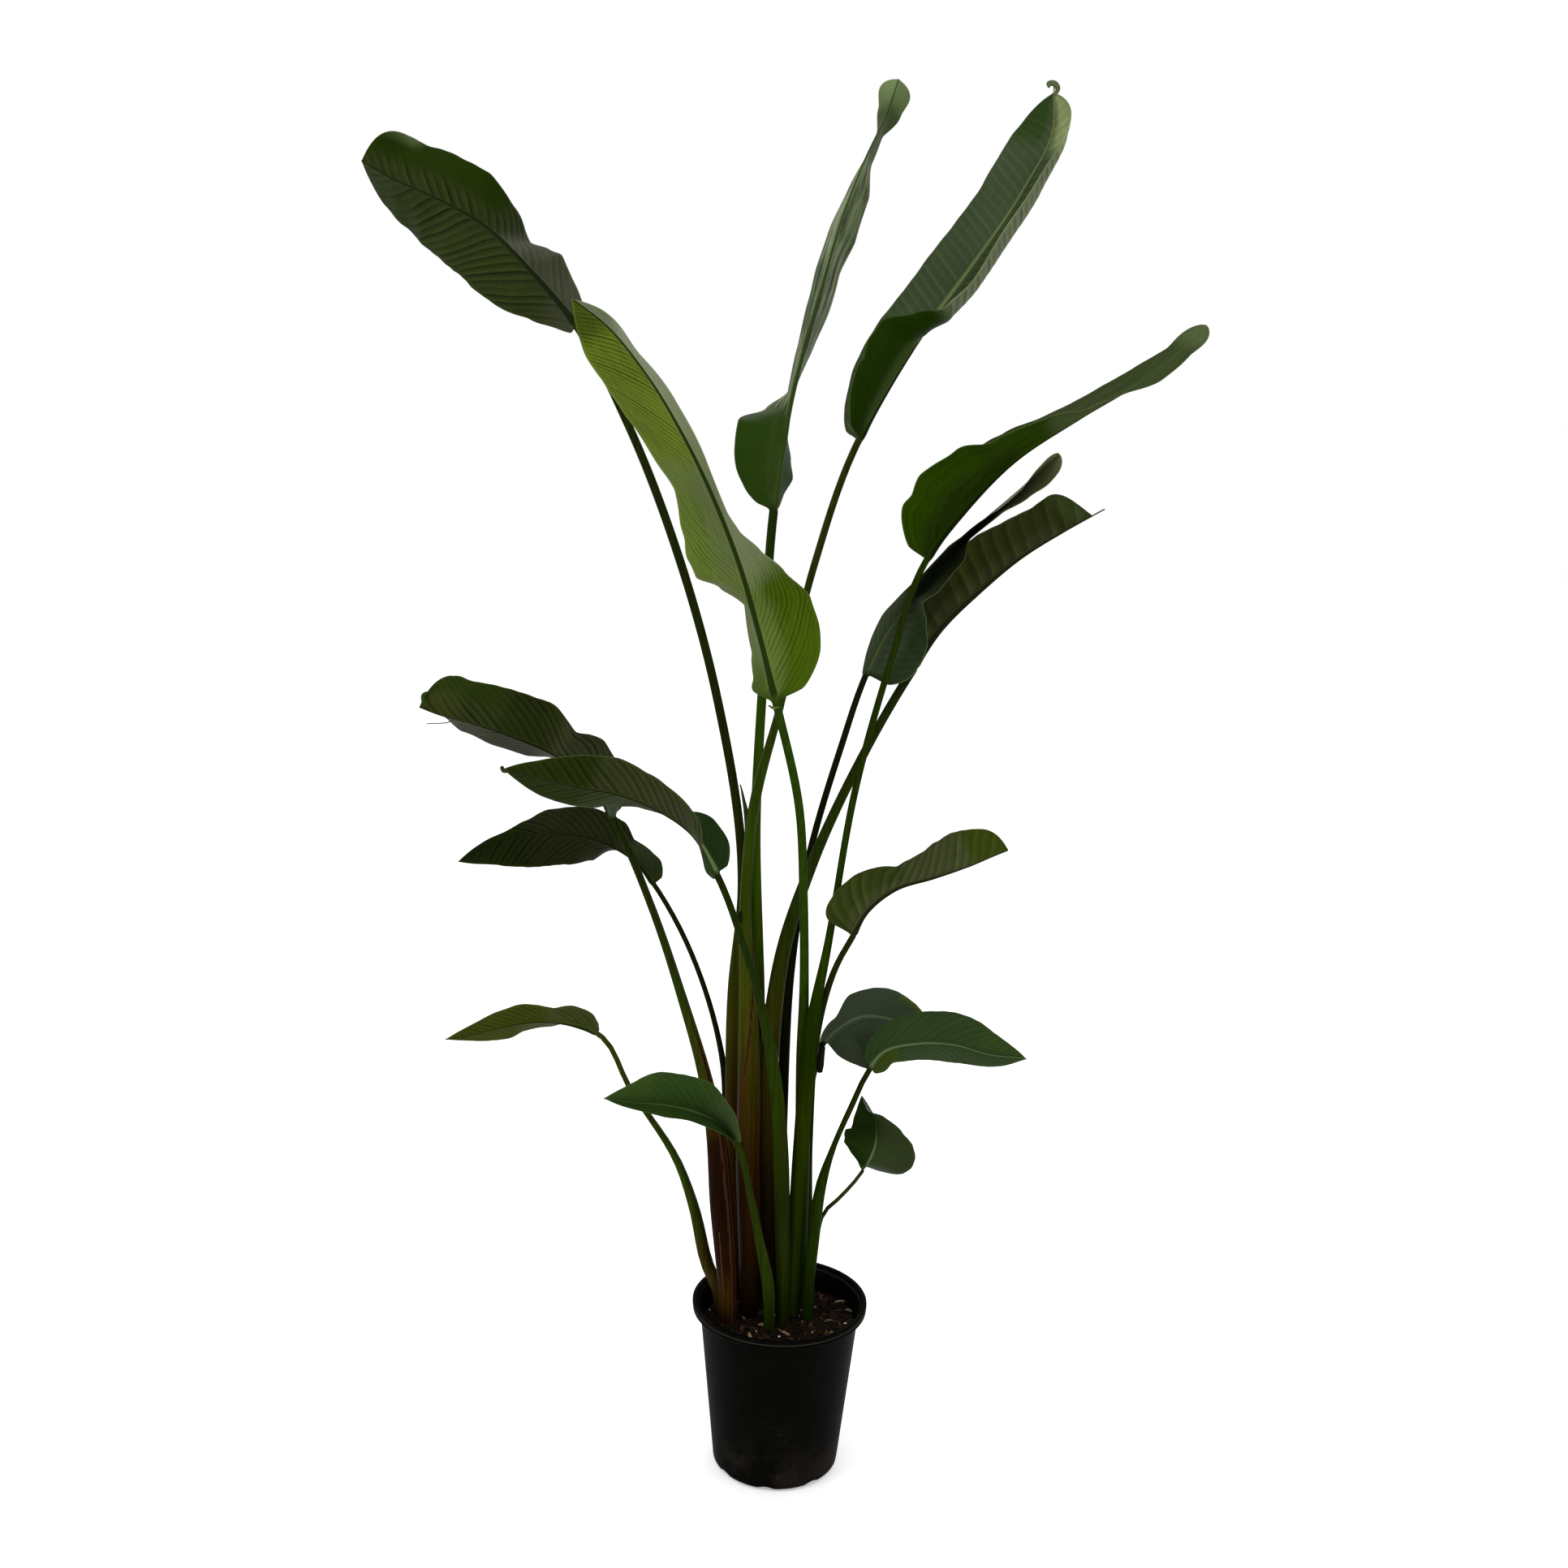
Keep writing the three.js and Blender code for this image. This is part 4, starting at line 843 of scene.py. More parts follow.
        "spacing": 12, "veins": 0.14, "upper": (43, 53, 27), "under": (43, 53, 27), "margin": 0.2,
        "rib_upper": (80, 96, 56), "rib_under": (80, 96, 56),
        "spots": [("B", "both", -0.1, 1.1, 0, 1.3, (27, 44, 9), 1, 1)],
        "stalk": [(215, (40, 48, 40)), (450, (56, 62, 64))]},
}
LOOKS = {name: {**PLAIN_LEAF, **OWN_LOOKS.get(name, {})} for name in LEAVES}
print("leaves with tones of their own:", len(OWN_LOOKS))

# %% [markdown]
# A whole leaf is a stack of such rings. They lie close together on the blade, closer still at its
# foot and tip where the outline turns quickly, and far apart on the stalk. The last ring of the stalk
# melts into the first of the blade. Each point also keeps what the finish needs to know about it.


# %% Rings along a leaf
STALK_STEP, BLADE_STEP, FOOT_LENGTH, TIP_SHARE = 20.0, 2.6, 14, 0.05
SHEATH_FADE, MELT = 90, 0.03


def leaf_stops(rib_start, end):
    """Places along a leaf, in millimetres from the collar, with a ring at each."""
    stalk = np.arange(0, rib_start - 4, STALK_STEP)
    length = end - rib_start
    foot = rib_start + np.arange(0, FOOT_LENGTH, 1.0)
    tip = end - length * TIP_SHARE * np.linspace(1, 0, 16) ** 1.6
    blade = np.linspace(foot[-1], tip[0], int((tip[0] - foot[-1]) / BLADE_STEP) + 2)[1:-1]
    return np.concatenate([stalk, foot, blade, tip])


def leaf_rings(name, order):
    leaf, look = LEAVES[name], LOOKS[name]
    foot_x, foot_y, foot_width = leaf["stalk"][0]
    rows = [[foot_x, foot_y, COLLAR, foot_width]] + [list(row) for row in leaf["stalk"][1:]]
    neck = rows[-1][3] * 0.95
    marks, at, heading = course_through(rows + [list(point) + [neck] for point in leaf["rib"]])
    rib_start, end = marks[len(rows)], marks[-1]
    first = turn_at(leaf["turn"], 0)
    sign = 1 if first[1] > first[0] else -1
    up_angle = (first[0] + first[1]) / 2
    levels = [level for level, shade in look["stalk"]]
    shades = np.array([paint(*shade) for level, shade in look["stalk"]])
    rings, notes = [], []
    stops = leaf_stops(rib_start, end)
    where, ways = at(stops), heading(stops)
    for s, (x, y, z, width), way in zip(stops, where, ways):
        toward = sideways(way)
        centre = np.array([x, y, z])
        sheath = 1 - float(ease((z - look["sheath"] + SHEATH_FADE) / SHEATH_FADE))
        edge_angle = look["edge"] + look["edge_turn"] * z
        ring, edge = stalk_ring(centre, toward, up_angle, sign, width, sheath, edge_angle)
        bark = np.array([np.interp(z, levels, shades[:, k]) for k in range(4)])
        note = {"vein_count": np.zeros(RIM), "from_rib": np.zeros(RIM), "from_margin": edge,
                "upper_face": np.zeros(RIM), "blade": np.zeros(RIM), "sheath": np.full(RIM, sheath),
                "tone": np.tile(bark, (RIM, 1)), "veins": np.zeros(RIM)}
        t = (s - rib_start) / (end - rib_start)
        if t >= 0:
            rib = max(0.7, neck * (0.6 * (1 - t) + 0.4 * math.exp(-t / 0.04)))
            flat, blade_notes = blade_ring(leaf, look, centre, way, toward, s - rib_start, t, rib, order)
            share = float(ease(t / MELT))
            ring = ring * (1 - share) + flat * share
            blade_notes["tone"] = note["tone"] * (1 - share) + blade_notes["tone"] * share
            note.update(blade_notes)
            note["blade"] = np.full(RIM, share)
        rings.append(ring)
        notes.append(note)
    buried = rings[0].copy()
    buried[:, 2] = STALK_FOOT
    return [buried] + rings, [notes[0]] + notes


print("rings on a leaf of 1.7 m:", len(leaf_stops(1150, 1700)))

# %% [markdown]
# Four-sided faces join each ring to the next, and both ends are closed. The leaves turn both ways,
# so some of these skins come out inside out. The sum of the small volumes under all faces tells:
# where it is negative, every face is turned round.


# %% Leaf meshes
def leaf_faces(count):
    faces = []
    for r in range(count - 1):
        for i in range(RIM):
            j = (i + 1) % RIM
            faces.append((r * RIM + i, r * RIM + j, (r + 1) * RIM + j, (r + 1) * RIM + i))
    last = (count - 1) * RIM
    for i in range(2 * HALF):
        far = RIM - 1 - i
        faces.append((i, far, far - 1, i + 1))
        faces.append((last + i, last + i + 1, last + far - 1, last + far))
    return faces


def outward(places, faces):
    """Turn all faces round if together they point into the solid."""
    fans = np.array([(face[0], face[k], face[k + 1]) for face in faces for k in range(1, len(face) - 1)])
    a, b, c = (places[fans[:, k]] for k in range(3))
    return faces if np.einsum("ij,ij->", a, np.cross(b, c)) > 0 else [face[::-1] for face in faces]


def solid_mesh(name, places, faces, notes=None):
    mesh = bpy.data.meshes.new(name)
    mesh.from_pydata((places * MM).tolist(), [], faces)
    for label, values in (notes or {}).items():
        kind, key = ("FLOAT_COLOR", "color") if values.ndim == 2 else ("FLOAT", "value")
        mesh.attributes.new(label, kind, "POINT").data.foreach_set(key, values.astype(np.float32).ravel())
    mesh.shade_smooth()
    piece = bpy.data.objects.new(name, mesh)
    scene.collection.objects.link(piece)
    return piece


leaf_pieces = {}
for order, name in enumerate(LEAVES):
    rings, notes = leaf_rings(name, order)
    places = np.vstack(rings)
    marks = {key: np.concatenate([note[key] for note in notes]) for key in notes[0]}
    leaf_pieces[name] = solid_mesh(name + "_grown", places, outward(places, leaf_faces(len(rings))), marks)
total = sum(2 * len(piece.data.polygons) for piece in leaf_pieces.values())
print(len(leaf_pieces), "leaves,", total, "triangles")

# %% [markdown]
# The skin of a blade is a node group that reads the marks on the points: side veins at their
# count, finer veins between them, the rib and the thin pale margin. Reading marks, and not places
# in space, keeps each vein running from rib to margin however the blade folds. No two veins are
# equally strong, so each takes its strength from a random number of its own.

# %% Blade skin
blade_group, given, put = new_group(
    "blade_skin",
    [("Rib under", "Color", (0.1, 0.1, 0.05, 1)), ("Rib upper", "Color", (0.3, 0.4, 0.2, 1)),
     ("Vein under", "Float", -0.5), ("Vein upper", "Float", 0.5), ("Fine veins", "Float", 0.5),
     ("Margin", "Float", 0.5), ("Streaks", "Float", 0.2), ("Streak width", "Float", 4.0),
     ("Rib width", "Float", 1.0)],
    [("Color", "Color"), ("Height", "Float"), ("Roughness", "Float")])
tree = blade_group
where = object_place(tree)
count, from_rib, from_margin, upper, strength = (
    read(tree, key) for key in ("vein_count", "from_rib", "from_margin", "upper_face", "veins"))
tone = add(tree, "ShaderNodeAttribute", attribute_name="tone").outputs["Color"]

# Side veins: a wandering count, each vein with a strength of its own, calm at rib and margin.
wander = calc(tree, "SUBTRACT", rough_noise(tree, where, 16.0, 2.0), 0.5)
loose_count = calc(tree, "MULTIPLY_ADD", wander, 0.4, count)
own_number = calc(tree, "FLOOR", calc(tree, "ADD", loose_count, 0.5))
own = add(tree, "ShaderNodeTexWhiteNoise", {"W": own_number}, noise_dimensions="1D").outputs["Value"]
calm = times(tree, ramp(tree, from_rib, 1.3, 3.0), ramp(tree, from_margin, 0.5, 7.0))
strength = times(tree, times(tree, strength, calm), calc(tree, "MULTIPLY_ADD", own, 0.9, 0.35))
to_vein = calc(tree, "PINGPONG", loose_count, 0.5)
# A negative crease strength darkens the crease and a soft band beside it, which is painted shade in the
# furrow. A positive one gives a pale vein line.
crease, beside = ramp(tree, to_vein, 0.13, 0.0), ramp(tree, to_vein, 0.36, 0.05)
# Painted light and shade: one side of each pleat lighter, the other darker, as if lit from above.
pleat_light_and_shade = calc(tree, "SINE", times(tree, loose_count, 2 * math.pi))
thread = calc(tree, "PINGPONG", times(tree, loose_count, 6.0), 0.5)
threads = times(tree, times(tree, ramp(tree, thread, 0.5, 0.1), given["Fine veins"]), calm)

# What they do to the tone: darker or lighter by face, with a painted highlight on one side of each
# pleat and painted shade on the other, then streaks along the leaf, clouds and mottle.
depth = between(tree, upper, given["Vein under"], given["Vein upper"])
line = calc(tree, "MULTIPLY_ADD", times(tree, beside, 0.25), calc(tree, "SIGN", depth),
            times(tree, crease, depth))
line = calc(tree, "MULTIPLY_ADD", pleat_light_and_shade, calc(tree, "MULTIPLY_ADD", upper, -0.2, 0.26), line)
factor = calc(tree, "MULTIPLY_ADD", line, strength, 1.0)
factor = calc(tree, "MULTIPLY_ADD", threads, -0.2, factor)
lengthwise = add(tree, "ShaderNodeCombineXYZ", {
    0: calc(tree, "DIVIDE", from_margin, given["Streak width"]), 1: times(tree, count, 0.12),
    2: upper}).outputs[0]
streak = calc(tree, "SUBTRACT", rough_noise(tree, lengthwise, 1.0, 3.0, 0.65), 0.5)
streaked = times(tree, given["Streaks"], ramp(tree, read(tree, "veins"), 0.03, 0.09))
factor = calc(tree, "MULTIPLY_ADD", times(tree, streak, streaked), 1.8, factor)
mottle = rough_noise(tree, where, 150.0, 4.0)
for pattern, weight in ((rough_noise(tree, where, 9.0), 0.5), (mottle, 0.22)):
    factor = calc(tree, "MULTIPLY_ADD", calc(tree, "SUBTRACT", pattern, 0.5), weight, factor)
face = scaled(tree, tone, factor)

# The rib in its own tone, with a painted shadow band beside it and a painted highlight along its
# edge, and the thin pale margin.
under_rib = blend(tree, upper, given["Rib under"], given["Rib upper"])
shown_width = times(tree, given["Rib width"], calc(tree, "MULTIPLY_ADD", upper, 0.5, 1.0))
rib_share = calc(tree, "DIVIDE", from_rib, shown_width)
# Painted shadow: a darker band on either side of the rib.
face = blend(tree, times(tree, ramp(tree, rib_share, 3.6, 2.2), 0.22), face, scaled(tree, tone, 0.5))
# Painted highlight: a light line along the edge of the rib.
rib_edge_highlight = times(tree, ramp(tree, rib_share, 1.0, 1.4), ramp(tree, rib_share, 2.0, 1.5))
face = blend(tree, times(tree, rib_edge_highlight, 0.6), face, scaled(tree, tone, 1.45))
face = blend(tree, ramp(tree, rib_share, 1.0, 0.6), face, under_rib)
on_margin = times(tree, ramp(tree, from_margin, 1.5, 0.5), given["Margin"], clamp=True)
pale = blend(tree, 0.25, scaled(tree, tone, 2.2), paint(120, 124, 92))

lift = between(tree, upper, -1.0, 0.6)
height = calc(tree, "MULTIPLY_ADD", times(tree, crease, strength), lift, times(tree, threads, -0.05))
feed(tree, put, {"Color": blend(tree, on_margin, face, pale),
                 "Height": calc(tree, "MULTIPLY_ADD", mottle, 0.04, height),
                 "Roughness": calc(tree, "MULTIPLY_ADD", mottle, 0.18, 0.36)})
print("blade skin:", len(tree.nodes), "nodes")

# %% [markdown]
# A stalk is fresh green above and ages downwards: the sheaths that once wrapped the youngest leaf
# turn olive, then red-brown, and dry at their edges. Its tone comes from the points. The long fibres
# of the shared group add the streaks, and the free edge of the sheath gets a dry, torn rim with a
# dark crack beside it. One multiplication darkens all stalks alike, blue the most: painted shade of
# the crown of leaves over them, since the light of a white room would otherwise leave them cool and pale.

# %% Stalk bark
stalk_group, given, put = new_group(
    "stalk_bark",
    [("Dry", "Float", 0.6), ("Dry width", "Float", 1.8)],
    [("Color", "Color"), ("Height", "Float"), ("Roughness", "Float")])
tree = stalk_group
tone = add(tree, "ShaderNodeAttribute", attribute_name="tone").outputs["Color"]
sheath = read(tree, "sheath")
fibres = effect(tree, fibre_group, {"Scale": 260.0, "Stretch": 0.02, "Contrast": 2.2})
broad = effect(tree, fibre_group, {"Scale": 60.0, "Stretch": 0.08, "Contrast": 1.6})
factor = 1.0
for key in ("Streaks", "Fine"):
    factor = calc(tree, "MULTIPLY_ADD", calc(tree, "SUBTRACT", fibres[key], 0.5), 0.6, factor)
# Painted shade: every stalk darkened alike, blue the most, as under the crown of leaves.
bark = blend(tree, 1.0, scaled(tree, tone, factor), (0.62, 0.62, 0.16, 1), "MULTIPLY")
warm = times(tree, ramp(tree, broad["Streaks"], 0.5, 0.9), sheath)
bark = blend(tree, times(tree, warm, 0.35), bark, blend(tree, 1.0, bark, (2.0, 1.1, 0.8, 1), "MULTIPLY"))
torn_width = times(tree, given["Dry width"], calc(tree, "MULTIPLY_ADD", broad["Fine"], 1.4, 0.3))
from_edge = calc(tree, "DIVIDE", read(tree, "from_margin"), torn_width)
rim = times(tree, ramp(tree, from_edge, 1.0, 0.7), sheath)
dry = blend(tree, fibres["Fine"], paint(34, 12, 6), paint(92, 58, 38))
bark = blend(tree, times(tree, rim, given["Dry"]), bark, dry)
crack = times(tree, ramp(tree, from_edge, 0.45, 0.2), sheath)
bark = blend(tree, times(tree, crack, 0.85), bark, paint(22, 6, 4))
height = calc(tree, "MULTIPLY_ADD", fibres["Streaks"], 0.8, times(tree, fibres["Fine"], 0.3))
feed(tree, put, {"Color": bark, "Height": height,
                 "Roughness": calc(tree, "MULTIPLY_ADD", fibres["Fine"], 0.2, 0.36)})
print("stalk bark:", len(tree.nodes), "nodes")

# %% [markdown]
# Stalk and blade are one piece, so one finish serves a whole leaf. It lays bark and skin side by
# side and fades from one to the other by a mark that tells how far a point lies in the blade. The
# two groups are built once, and each leaf puts its own tones and sizes into them. A few specks of
# dust lie over both.


# %% Leaf finishes
def leaf_finish(name, look):
    material, tree, shader = new_material(name + "_finish")
    sizes = {key: look[value] for key, value in (
        ("Vein under", "vein_under"), ("Vein upper", "vein_upper"), ("Fine veins", "fine"),
        ("Margin", "margin"), ("Streaks", "streaks"), ("Streak width", "streak_width"),
        ("Rib width", "rib_width"))}
    blade = effect(tree, blade_group, {"Rib under": paint(*look["rib_under"]),
                                       "Rib upper": paint(*look["rib_upper"]), **sizes})
    stalk = effect(tree, stalk_group, {"Dry width": look["dry_width"]})
    dust = effect(tree, speck_group, {"Scale": 120.0, "Size": 0.08, "Amount": 0.02})["Mask"]
    share = read(tree, "blade")
    tone = blend(tree, share, stalk["Color"], blade["Color"])
    tone = blend(tree, times(tree, dust, 0.35), tone, paint(120, 124, 104))
    rough = between(tree, share, stalk["Roughness"], blade["Roughness"])
    grain = between(tree, share, stalk["Height"], blade["Height"])
    dress(tree, shader, tone, rough, look["shine"], grain, 0.6, 0.0008)
    return material


for name, piece in leaf_pieces.items():
    piece.data.materials.append(leaf_finish(name, LOOKS[name]))
    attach(piece, "root")
    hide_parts(name)
print("leaf finishes:", len(leaf_pieces))

# %% [markdown]
# A grown leaf ends in small things that a smooth outline leaves out: tips that dry and roll up, the
# collar at a blade's foot, the pointed top of a sheath, a stub where an old leaf was cut. Each is a
# short closed strip along a few points, with a half width at each, and the fibres give it its
# grain. Three long pale chips lie out on the soil, and they are strips too. Each row of the table
# gives the finish it belongs to, the way its flat side faces, its thickness, its tone and its points.

# %% Curled tips, stubs and dry scraps
SCRAPS = {
    "coil_upper_right": ("leaf_top_face", 10, 2.2, (92, 104, 72),
        [[313, 96, 1913, 2.0], [315, 95, 1922, 3.4], [310, 93, 1927, 3.8], [302, 92, 1926, 3.0],
         [303, 91, 1922, 1.8]]),
    "coil_left_top": ("leaf_under_face", 20, 2.0, (46, 64, 24),
        [[-492, -37, 1091, 2.6], [-497, -38, 1098, 3.0], [-497, -39, 1107, 2.8],
         [-492, -40, 1111, 1.8]]),
    "coil_left_middle": ("leaf_under_face", 20, 2.2, (56, 54, 28),
        [[-360, -178, 1031, 2.4], [-366, -179, 1033, 3.0], [-368, -180, 1038, 2.4]]),
    "thread_left_top": ("leaf_under_face", 70, 0.6, (70, 72, 58),
        [[-452, -30, 1073, 2.4], [-469, -31, 1070, 1.6], [-495, -32, 1068, 0.5]]),
    "ligule_trunk": ("leaf_under_face", 12, 0.8, (54, 58, 34),
        [[-78, 40, 985, 0.7], [-71, 39, 961, 2.6], [-66, 38, 936, 4.6], [-64, 37, 904, 5.0]]),
    "stub_trunk": ("leaf_under_face", 20, 2.0, (24, 26, 12),
        [[-71, 18, 811, 1.4], [-73, 16, 804, 3.0], [-72, 18, 795, 2.0]]),
    "stub_petiole": ("leaf_under_face", 12, 4.0, (20, 24, 12),
        [[50, 30, 613, 3.5], [47, 28, 599, 5.6], [46, 27, 587, 6.0], [47, 27, 579, 3.6]]),
    "collar_bright": ("leaf_bright", 15, 1.0, (92, 108, 50),
        [[-40, -107, 1115, 1.0], [-34, -109, 1113, 1.8], [-26, -107, 1115, 1.0]]),
    "dry_edge": ("leaf_under_face", 30, 0.6, (80, 60, 46),
        [[-89, -24, 354, 0.5], [-85, -26, 319, 0.9], [-82, -26, 288, 0.9], [-79, -25, 261, 0.5]]),
    "chip_long": ("potting_mix", 90, 1.0, (150, 130, 100),
        [[82, 47, 217, 1.56], [90, 50, 219, 2.6], [98, 53, 217, 1.3]]),
    "chip_short": ("potting_mix", 90, 1.0, (120, 100, 74),
        [[97, 26, 217, 1.8], [102, 24, 219, 3.0], [106, 22, 217, 1.5]]),
    "chip_front": ("potting_mix", 90, 1.0, (104, 84, 60),
        [[66, -9, 217, 1.32], [72, -7, 219, 2.2], [78, -5, 217, 1.1]]),
}
print(len(SCRAPS), "strips to make")

# %% [markdown]
# A strip is made in the same way as a stalk, with fewer points: flat rings along a smooth course,
# closed at both ends. One plain finish with fine fibres serves them all.

# %% Small strips
STRIP_SIDES, STRIP_RINGS = 14, 36


def strip(name, rows, facing, thickness):
    """Flat closed strip along a smooth course through the rows."""
    marks, at, heading = course_through(rows)
    stops = np.linspace(0, marks[-1], STRIP_RINGS)
    a = 2 * np.pi * (np.arange(STRIP_SIDES) + 0.5) / STRIP_SIDES
    rings = []
    for (x, y, z, half), way in zip(at(stops), heading(stops)):
        toward = sideways(way)
        rings.append(np.array([x, y, z]) + toward(facing) * (np.cos(a) * max(half, 0.4))[:, None]
                     + toward(facing + 90) * (np.sin(a) * thickness)[:, None])
    places = np.vstack([rings[0].mean(axis=0)] + rings + [rings[-1].mean(axis=0)])
    last, faces = len(places) - 1, []
    for k in range(STRIP_SIDES):
        j = (k + 1) % STRIP_SIDES
        faces.append((0, 1 + j, 1 + k))
        for r in range(STRIP_RINGS - 1):
            low, high = 1 + r * STRIP_SIDES, 1 + (r + 1) * STRIP_SIDES
            faces.append((low + k, low + j, high + j, high + k))
        faces.append((last, last - STRIP_SIDES + k, last - STRIP_SIDES + j))
    return solid_mesh(name, places, outward(places, faces))


def scrap_finish(name, shade):
    material, tree, shader = new_material(name + "_finish")
    fibres = effect(tree, fibre_group)
    tone = blend(tree, fibres["Fine"], paint(*(v * 0.6 for v in shade)), paint(*shade))
    dress(tree, shader, tone, 0.6, 0.02, fibres["Streaks"], 0.4, 0.0006)
    return material


for name, (slot, facing, thickness, shade, rows) in SCRAPS.items():
    piece = strip(name, rows, facing, thickness)
    piece.data.materials.append(scrap_finish(name, shade))
    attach(piece, "root")
print("small strips:", len(SCRAPS))

# %% [markdown]
# The pot is one moulded shell, so it is its outline turned round the axis. The outline is a loop
# of points with rounded corners. A grid has one row of points for each point of the outline and
# one column for each step round the pot, and Geometry Nodes wrap it up: each row looks up its
# own radius and height. The foot is bitten in a few places, and the drain holes are cut through.

# %% Outline of the pot
POT_HEIGHT, RIM_RADIUS, LIP_HEIGHT, SHOULDER_RADIUS = 248, 125, 14, 114
BASE_RADIUS, FOOT_RADIUS, FOOT_RISE, POT_WALL, POT_FLOOR = 91, 80, 14, 2.6, 4
DRAIN_RADIUS, DRAIN_CIRCLE, DRAIN_COUNT = 6, 58, 6
BITE_COUNT, BITE_HEIGHT, BITE_FADE = 8, 3.0, 20
POT_STEPS, SHARP_ANGLE = 220, 40
SOIL_TOP, SOIL_BUMP, SOIL_GAP = 213, 3.5, 0.4


def softened(corners, radii, steps=4):
    """Loop of points through the corners, each cut by a small arc-like curve."""
    points = []
    total = len(corners)
    for i, (corner, radius) in enumerate(zip(corners, radii)):
        here = np.array(corner, float)
        before = np.array(corners[i - 1], float) - here
        after = np.array(corners[(i + 1) % total], float) - here
        if radius == 0:
            points.append(here)
            continue
        first = here + before / np.linalg.norm(before) * min(radius, np.linalg.norm(before) * 0.45)
        last = here + after / np.linalg.norm(after) * min(radius, np.linalg.norm(after) * 0.45)
        for k in range(steps + 1):
            u = k / steps
            points.append((1 - u) ** 2 * first + 2 * u * (1 - u) * here + u * u * last)
    return points


lip = POT_HEIGHT - LIP_HEIGHT
corners = [(0, 0), (FOOT_RADIUS, 0), (BASE_RADIUS - 1, 4), (BASE_RADIUS, FOOT_RISE),
           (SHOULDER_RADIUS, lip), (RIM_RADIUS - 2.5, lip), (RIM_RADIUS - 0.6, lip + 1.8),
           (RIM_RADIUS - 0.6, lip + 5), (RIM_RADIUS - 2.0, lip + 6), (RIM_RADIUS, lip + 7.2),
           (RIM_RADIUS, POT_HEIGHT), (RIM_RADIUS - 6, POT_HEIGHT),
           (SHOULDER_RADIUS - POT_WALL, lip - 4), (BASE_RADIUS - POT_WALL, FOOT_RISE),
           (FOOT_RADIUS - 1, POT_FLOOR), (0, POT_FLOOR)]
radii = [0, 8, 5, 6, 1.5, 1, 1, 0.6, 0.5, 0.8, 2.2, 2.2, 3, 5, 5, 0]
pot_outline = softened(corners, radii)
print("pot outline:", len(pot_outline), "points")

# %% [markdown]
# Geometry Nodes suit what follows a rule: here the wall that is turned from one outline, and later
# the crumbs that are strewn over the soil. A tree gets named inputs for its sizes, so that the same
# tree can be run again with others. Its result is kept as a plain mesh, which is what an export reads.


# %% Helpers for Geometry Nodes
def new_tree(name, inputs):
    """Geometry Nodes tree with named inputs; returns it with its inputs and its output node."""
    tree = bpy.data.node_groups.new(name, "GeometryNodeTree")
    tree.interface.new_socket("Geometry", in_out="INPUT", socket_type="NodeSocketGeometry")
    for label, kind in inputs:
        tree.interface.new_socket(label, in_out="INPUT", socket_type="NodeSocket" + kind)
    tree.interface.new_socket("Geometry", in_out="OUTPUT", socket_type="NodeSocketGeometry")
    return tree, tree.nodes.new("NodeGroupInput").outputs, tree.nodes.new("NodeGroupOutput")


def grow(name, base_mesh, tree, values):
    """Run a tree over a base mesh and keep the result as a plain mesh."""
    piece = bpy.data.objects.new(name, base_mesh)
    scene.collection.objects.link(piece)
    modifier = piece.modifiers.new("grow", "NODES")
    modifier.node_group = tree
    for item in tree.interface.items_tree:
        if item.in_out == "INPUT" and item.name in values:
            modifier[item.identifier] = values[item.name]
    finished = piece.evaluated_get(bpy.context.evaluated_depsgraph_get())
    result = bpy.data.meshes.new_from_object(finished)
    piece.modifiers.clear()
    piece.data = result
    return piece


def finish_geometry(tree, geometry, material, put):
    real = add(tree, "GeometryNodeRealizeInstances", {0: geometry}).outputs[0]
    dressed = add(tree, "GeometryNodeSetMaterial", {"Geometry": real, "Material": material})
    feed(tree, put, {0: dressed.outputs[0]})


print("helpers for trees ready")

# %% [markdown]
# The tree of the pot lays a flat grid, looks up for each of its rows the radius and height that the
# outline has there, and turns the columns round the axis. The bites in the foot come from a wave
# round the pot, of which only the crests count, and they fade out a short way up. A ring of
# cylinders then cuts the drain holes.


# %% Pot wrapped from its outline
tree, given, put = new_tree("pot_turner", [
    ("Steps round", "Int"), ("Bites", "Int"), ("Bite height", "Float"), ("Foot height", "Float"),
    ("Foot radius", "Float"), ("Drain holes", "Int"), ("Drain circle", "Float"), ("Drain radius", "Float"),
    ("Material", "Material")])
rows = add(tree, "GeometryNodeAttributeDomainSize", {0: given["Geometry"]}).outputs["Point Count"]
columns = calc(tree, "ADD", given["Steps round"], 1.0)
grid = add(tree, "GeometryNodeMeshGrid", {"Size X": 1.0, "Size Y": 1.0, "Vertices X": columns,
                                          "Vertices Y": rows}).outputs["Mesh"]
position = add(tree, "GeometryNodeInputPosition").outputs[0]
spot = add(tree, "ShaderNodeSeparateXYZ", {0: position}).outputs
angle = times(tree, calc(tree, "ADD", spot["X"], 0.5), 2 * math.pi)
row = calc(tree, "ROUND", times(tree, calc(tree, "ADD", spot["Y"], 0.5), calc(tree, "SUBTRACT", rows, 1.0)))
looked_up = add(tree, "GeometryNodeSampleIndex", {"Geometry": given["Geometry"], "Value": position,
                                                  "Index": row}, data_type="FLOAT_VECTOR", domain="POINT")
outline_spot = add(tree, "ShaderNodeSeparateXYZ", {0: looked_up.outputs[0]}).outputs
radius, height = outline_spot["X"], outline_spot["Z"]
wave = calc(tree, "COSINE", calc(tree, "MULTIPLY_ADD", angle, given["Bites"], 1.1))
bite = calc(tree, "MAXIMUM", calc(tree, "MULTIPLY_ADD", wave, 2.0, -1.0), 0.0)
near_edge = calc(tree, "GREATER_THAN", radius, times(tree, given["Foot radius"], 0.9))
risen = calc(tree, "DIVIDE", height, given["Foot height"])
low = calc(tree, "MAXIMUM", calc(tree, "SUBTRACT", 1.0, risen), 0.0)
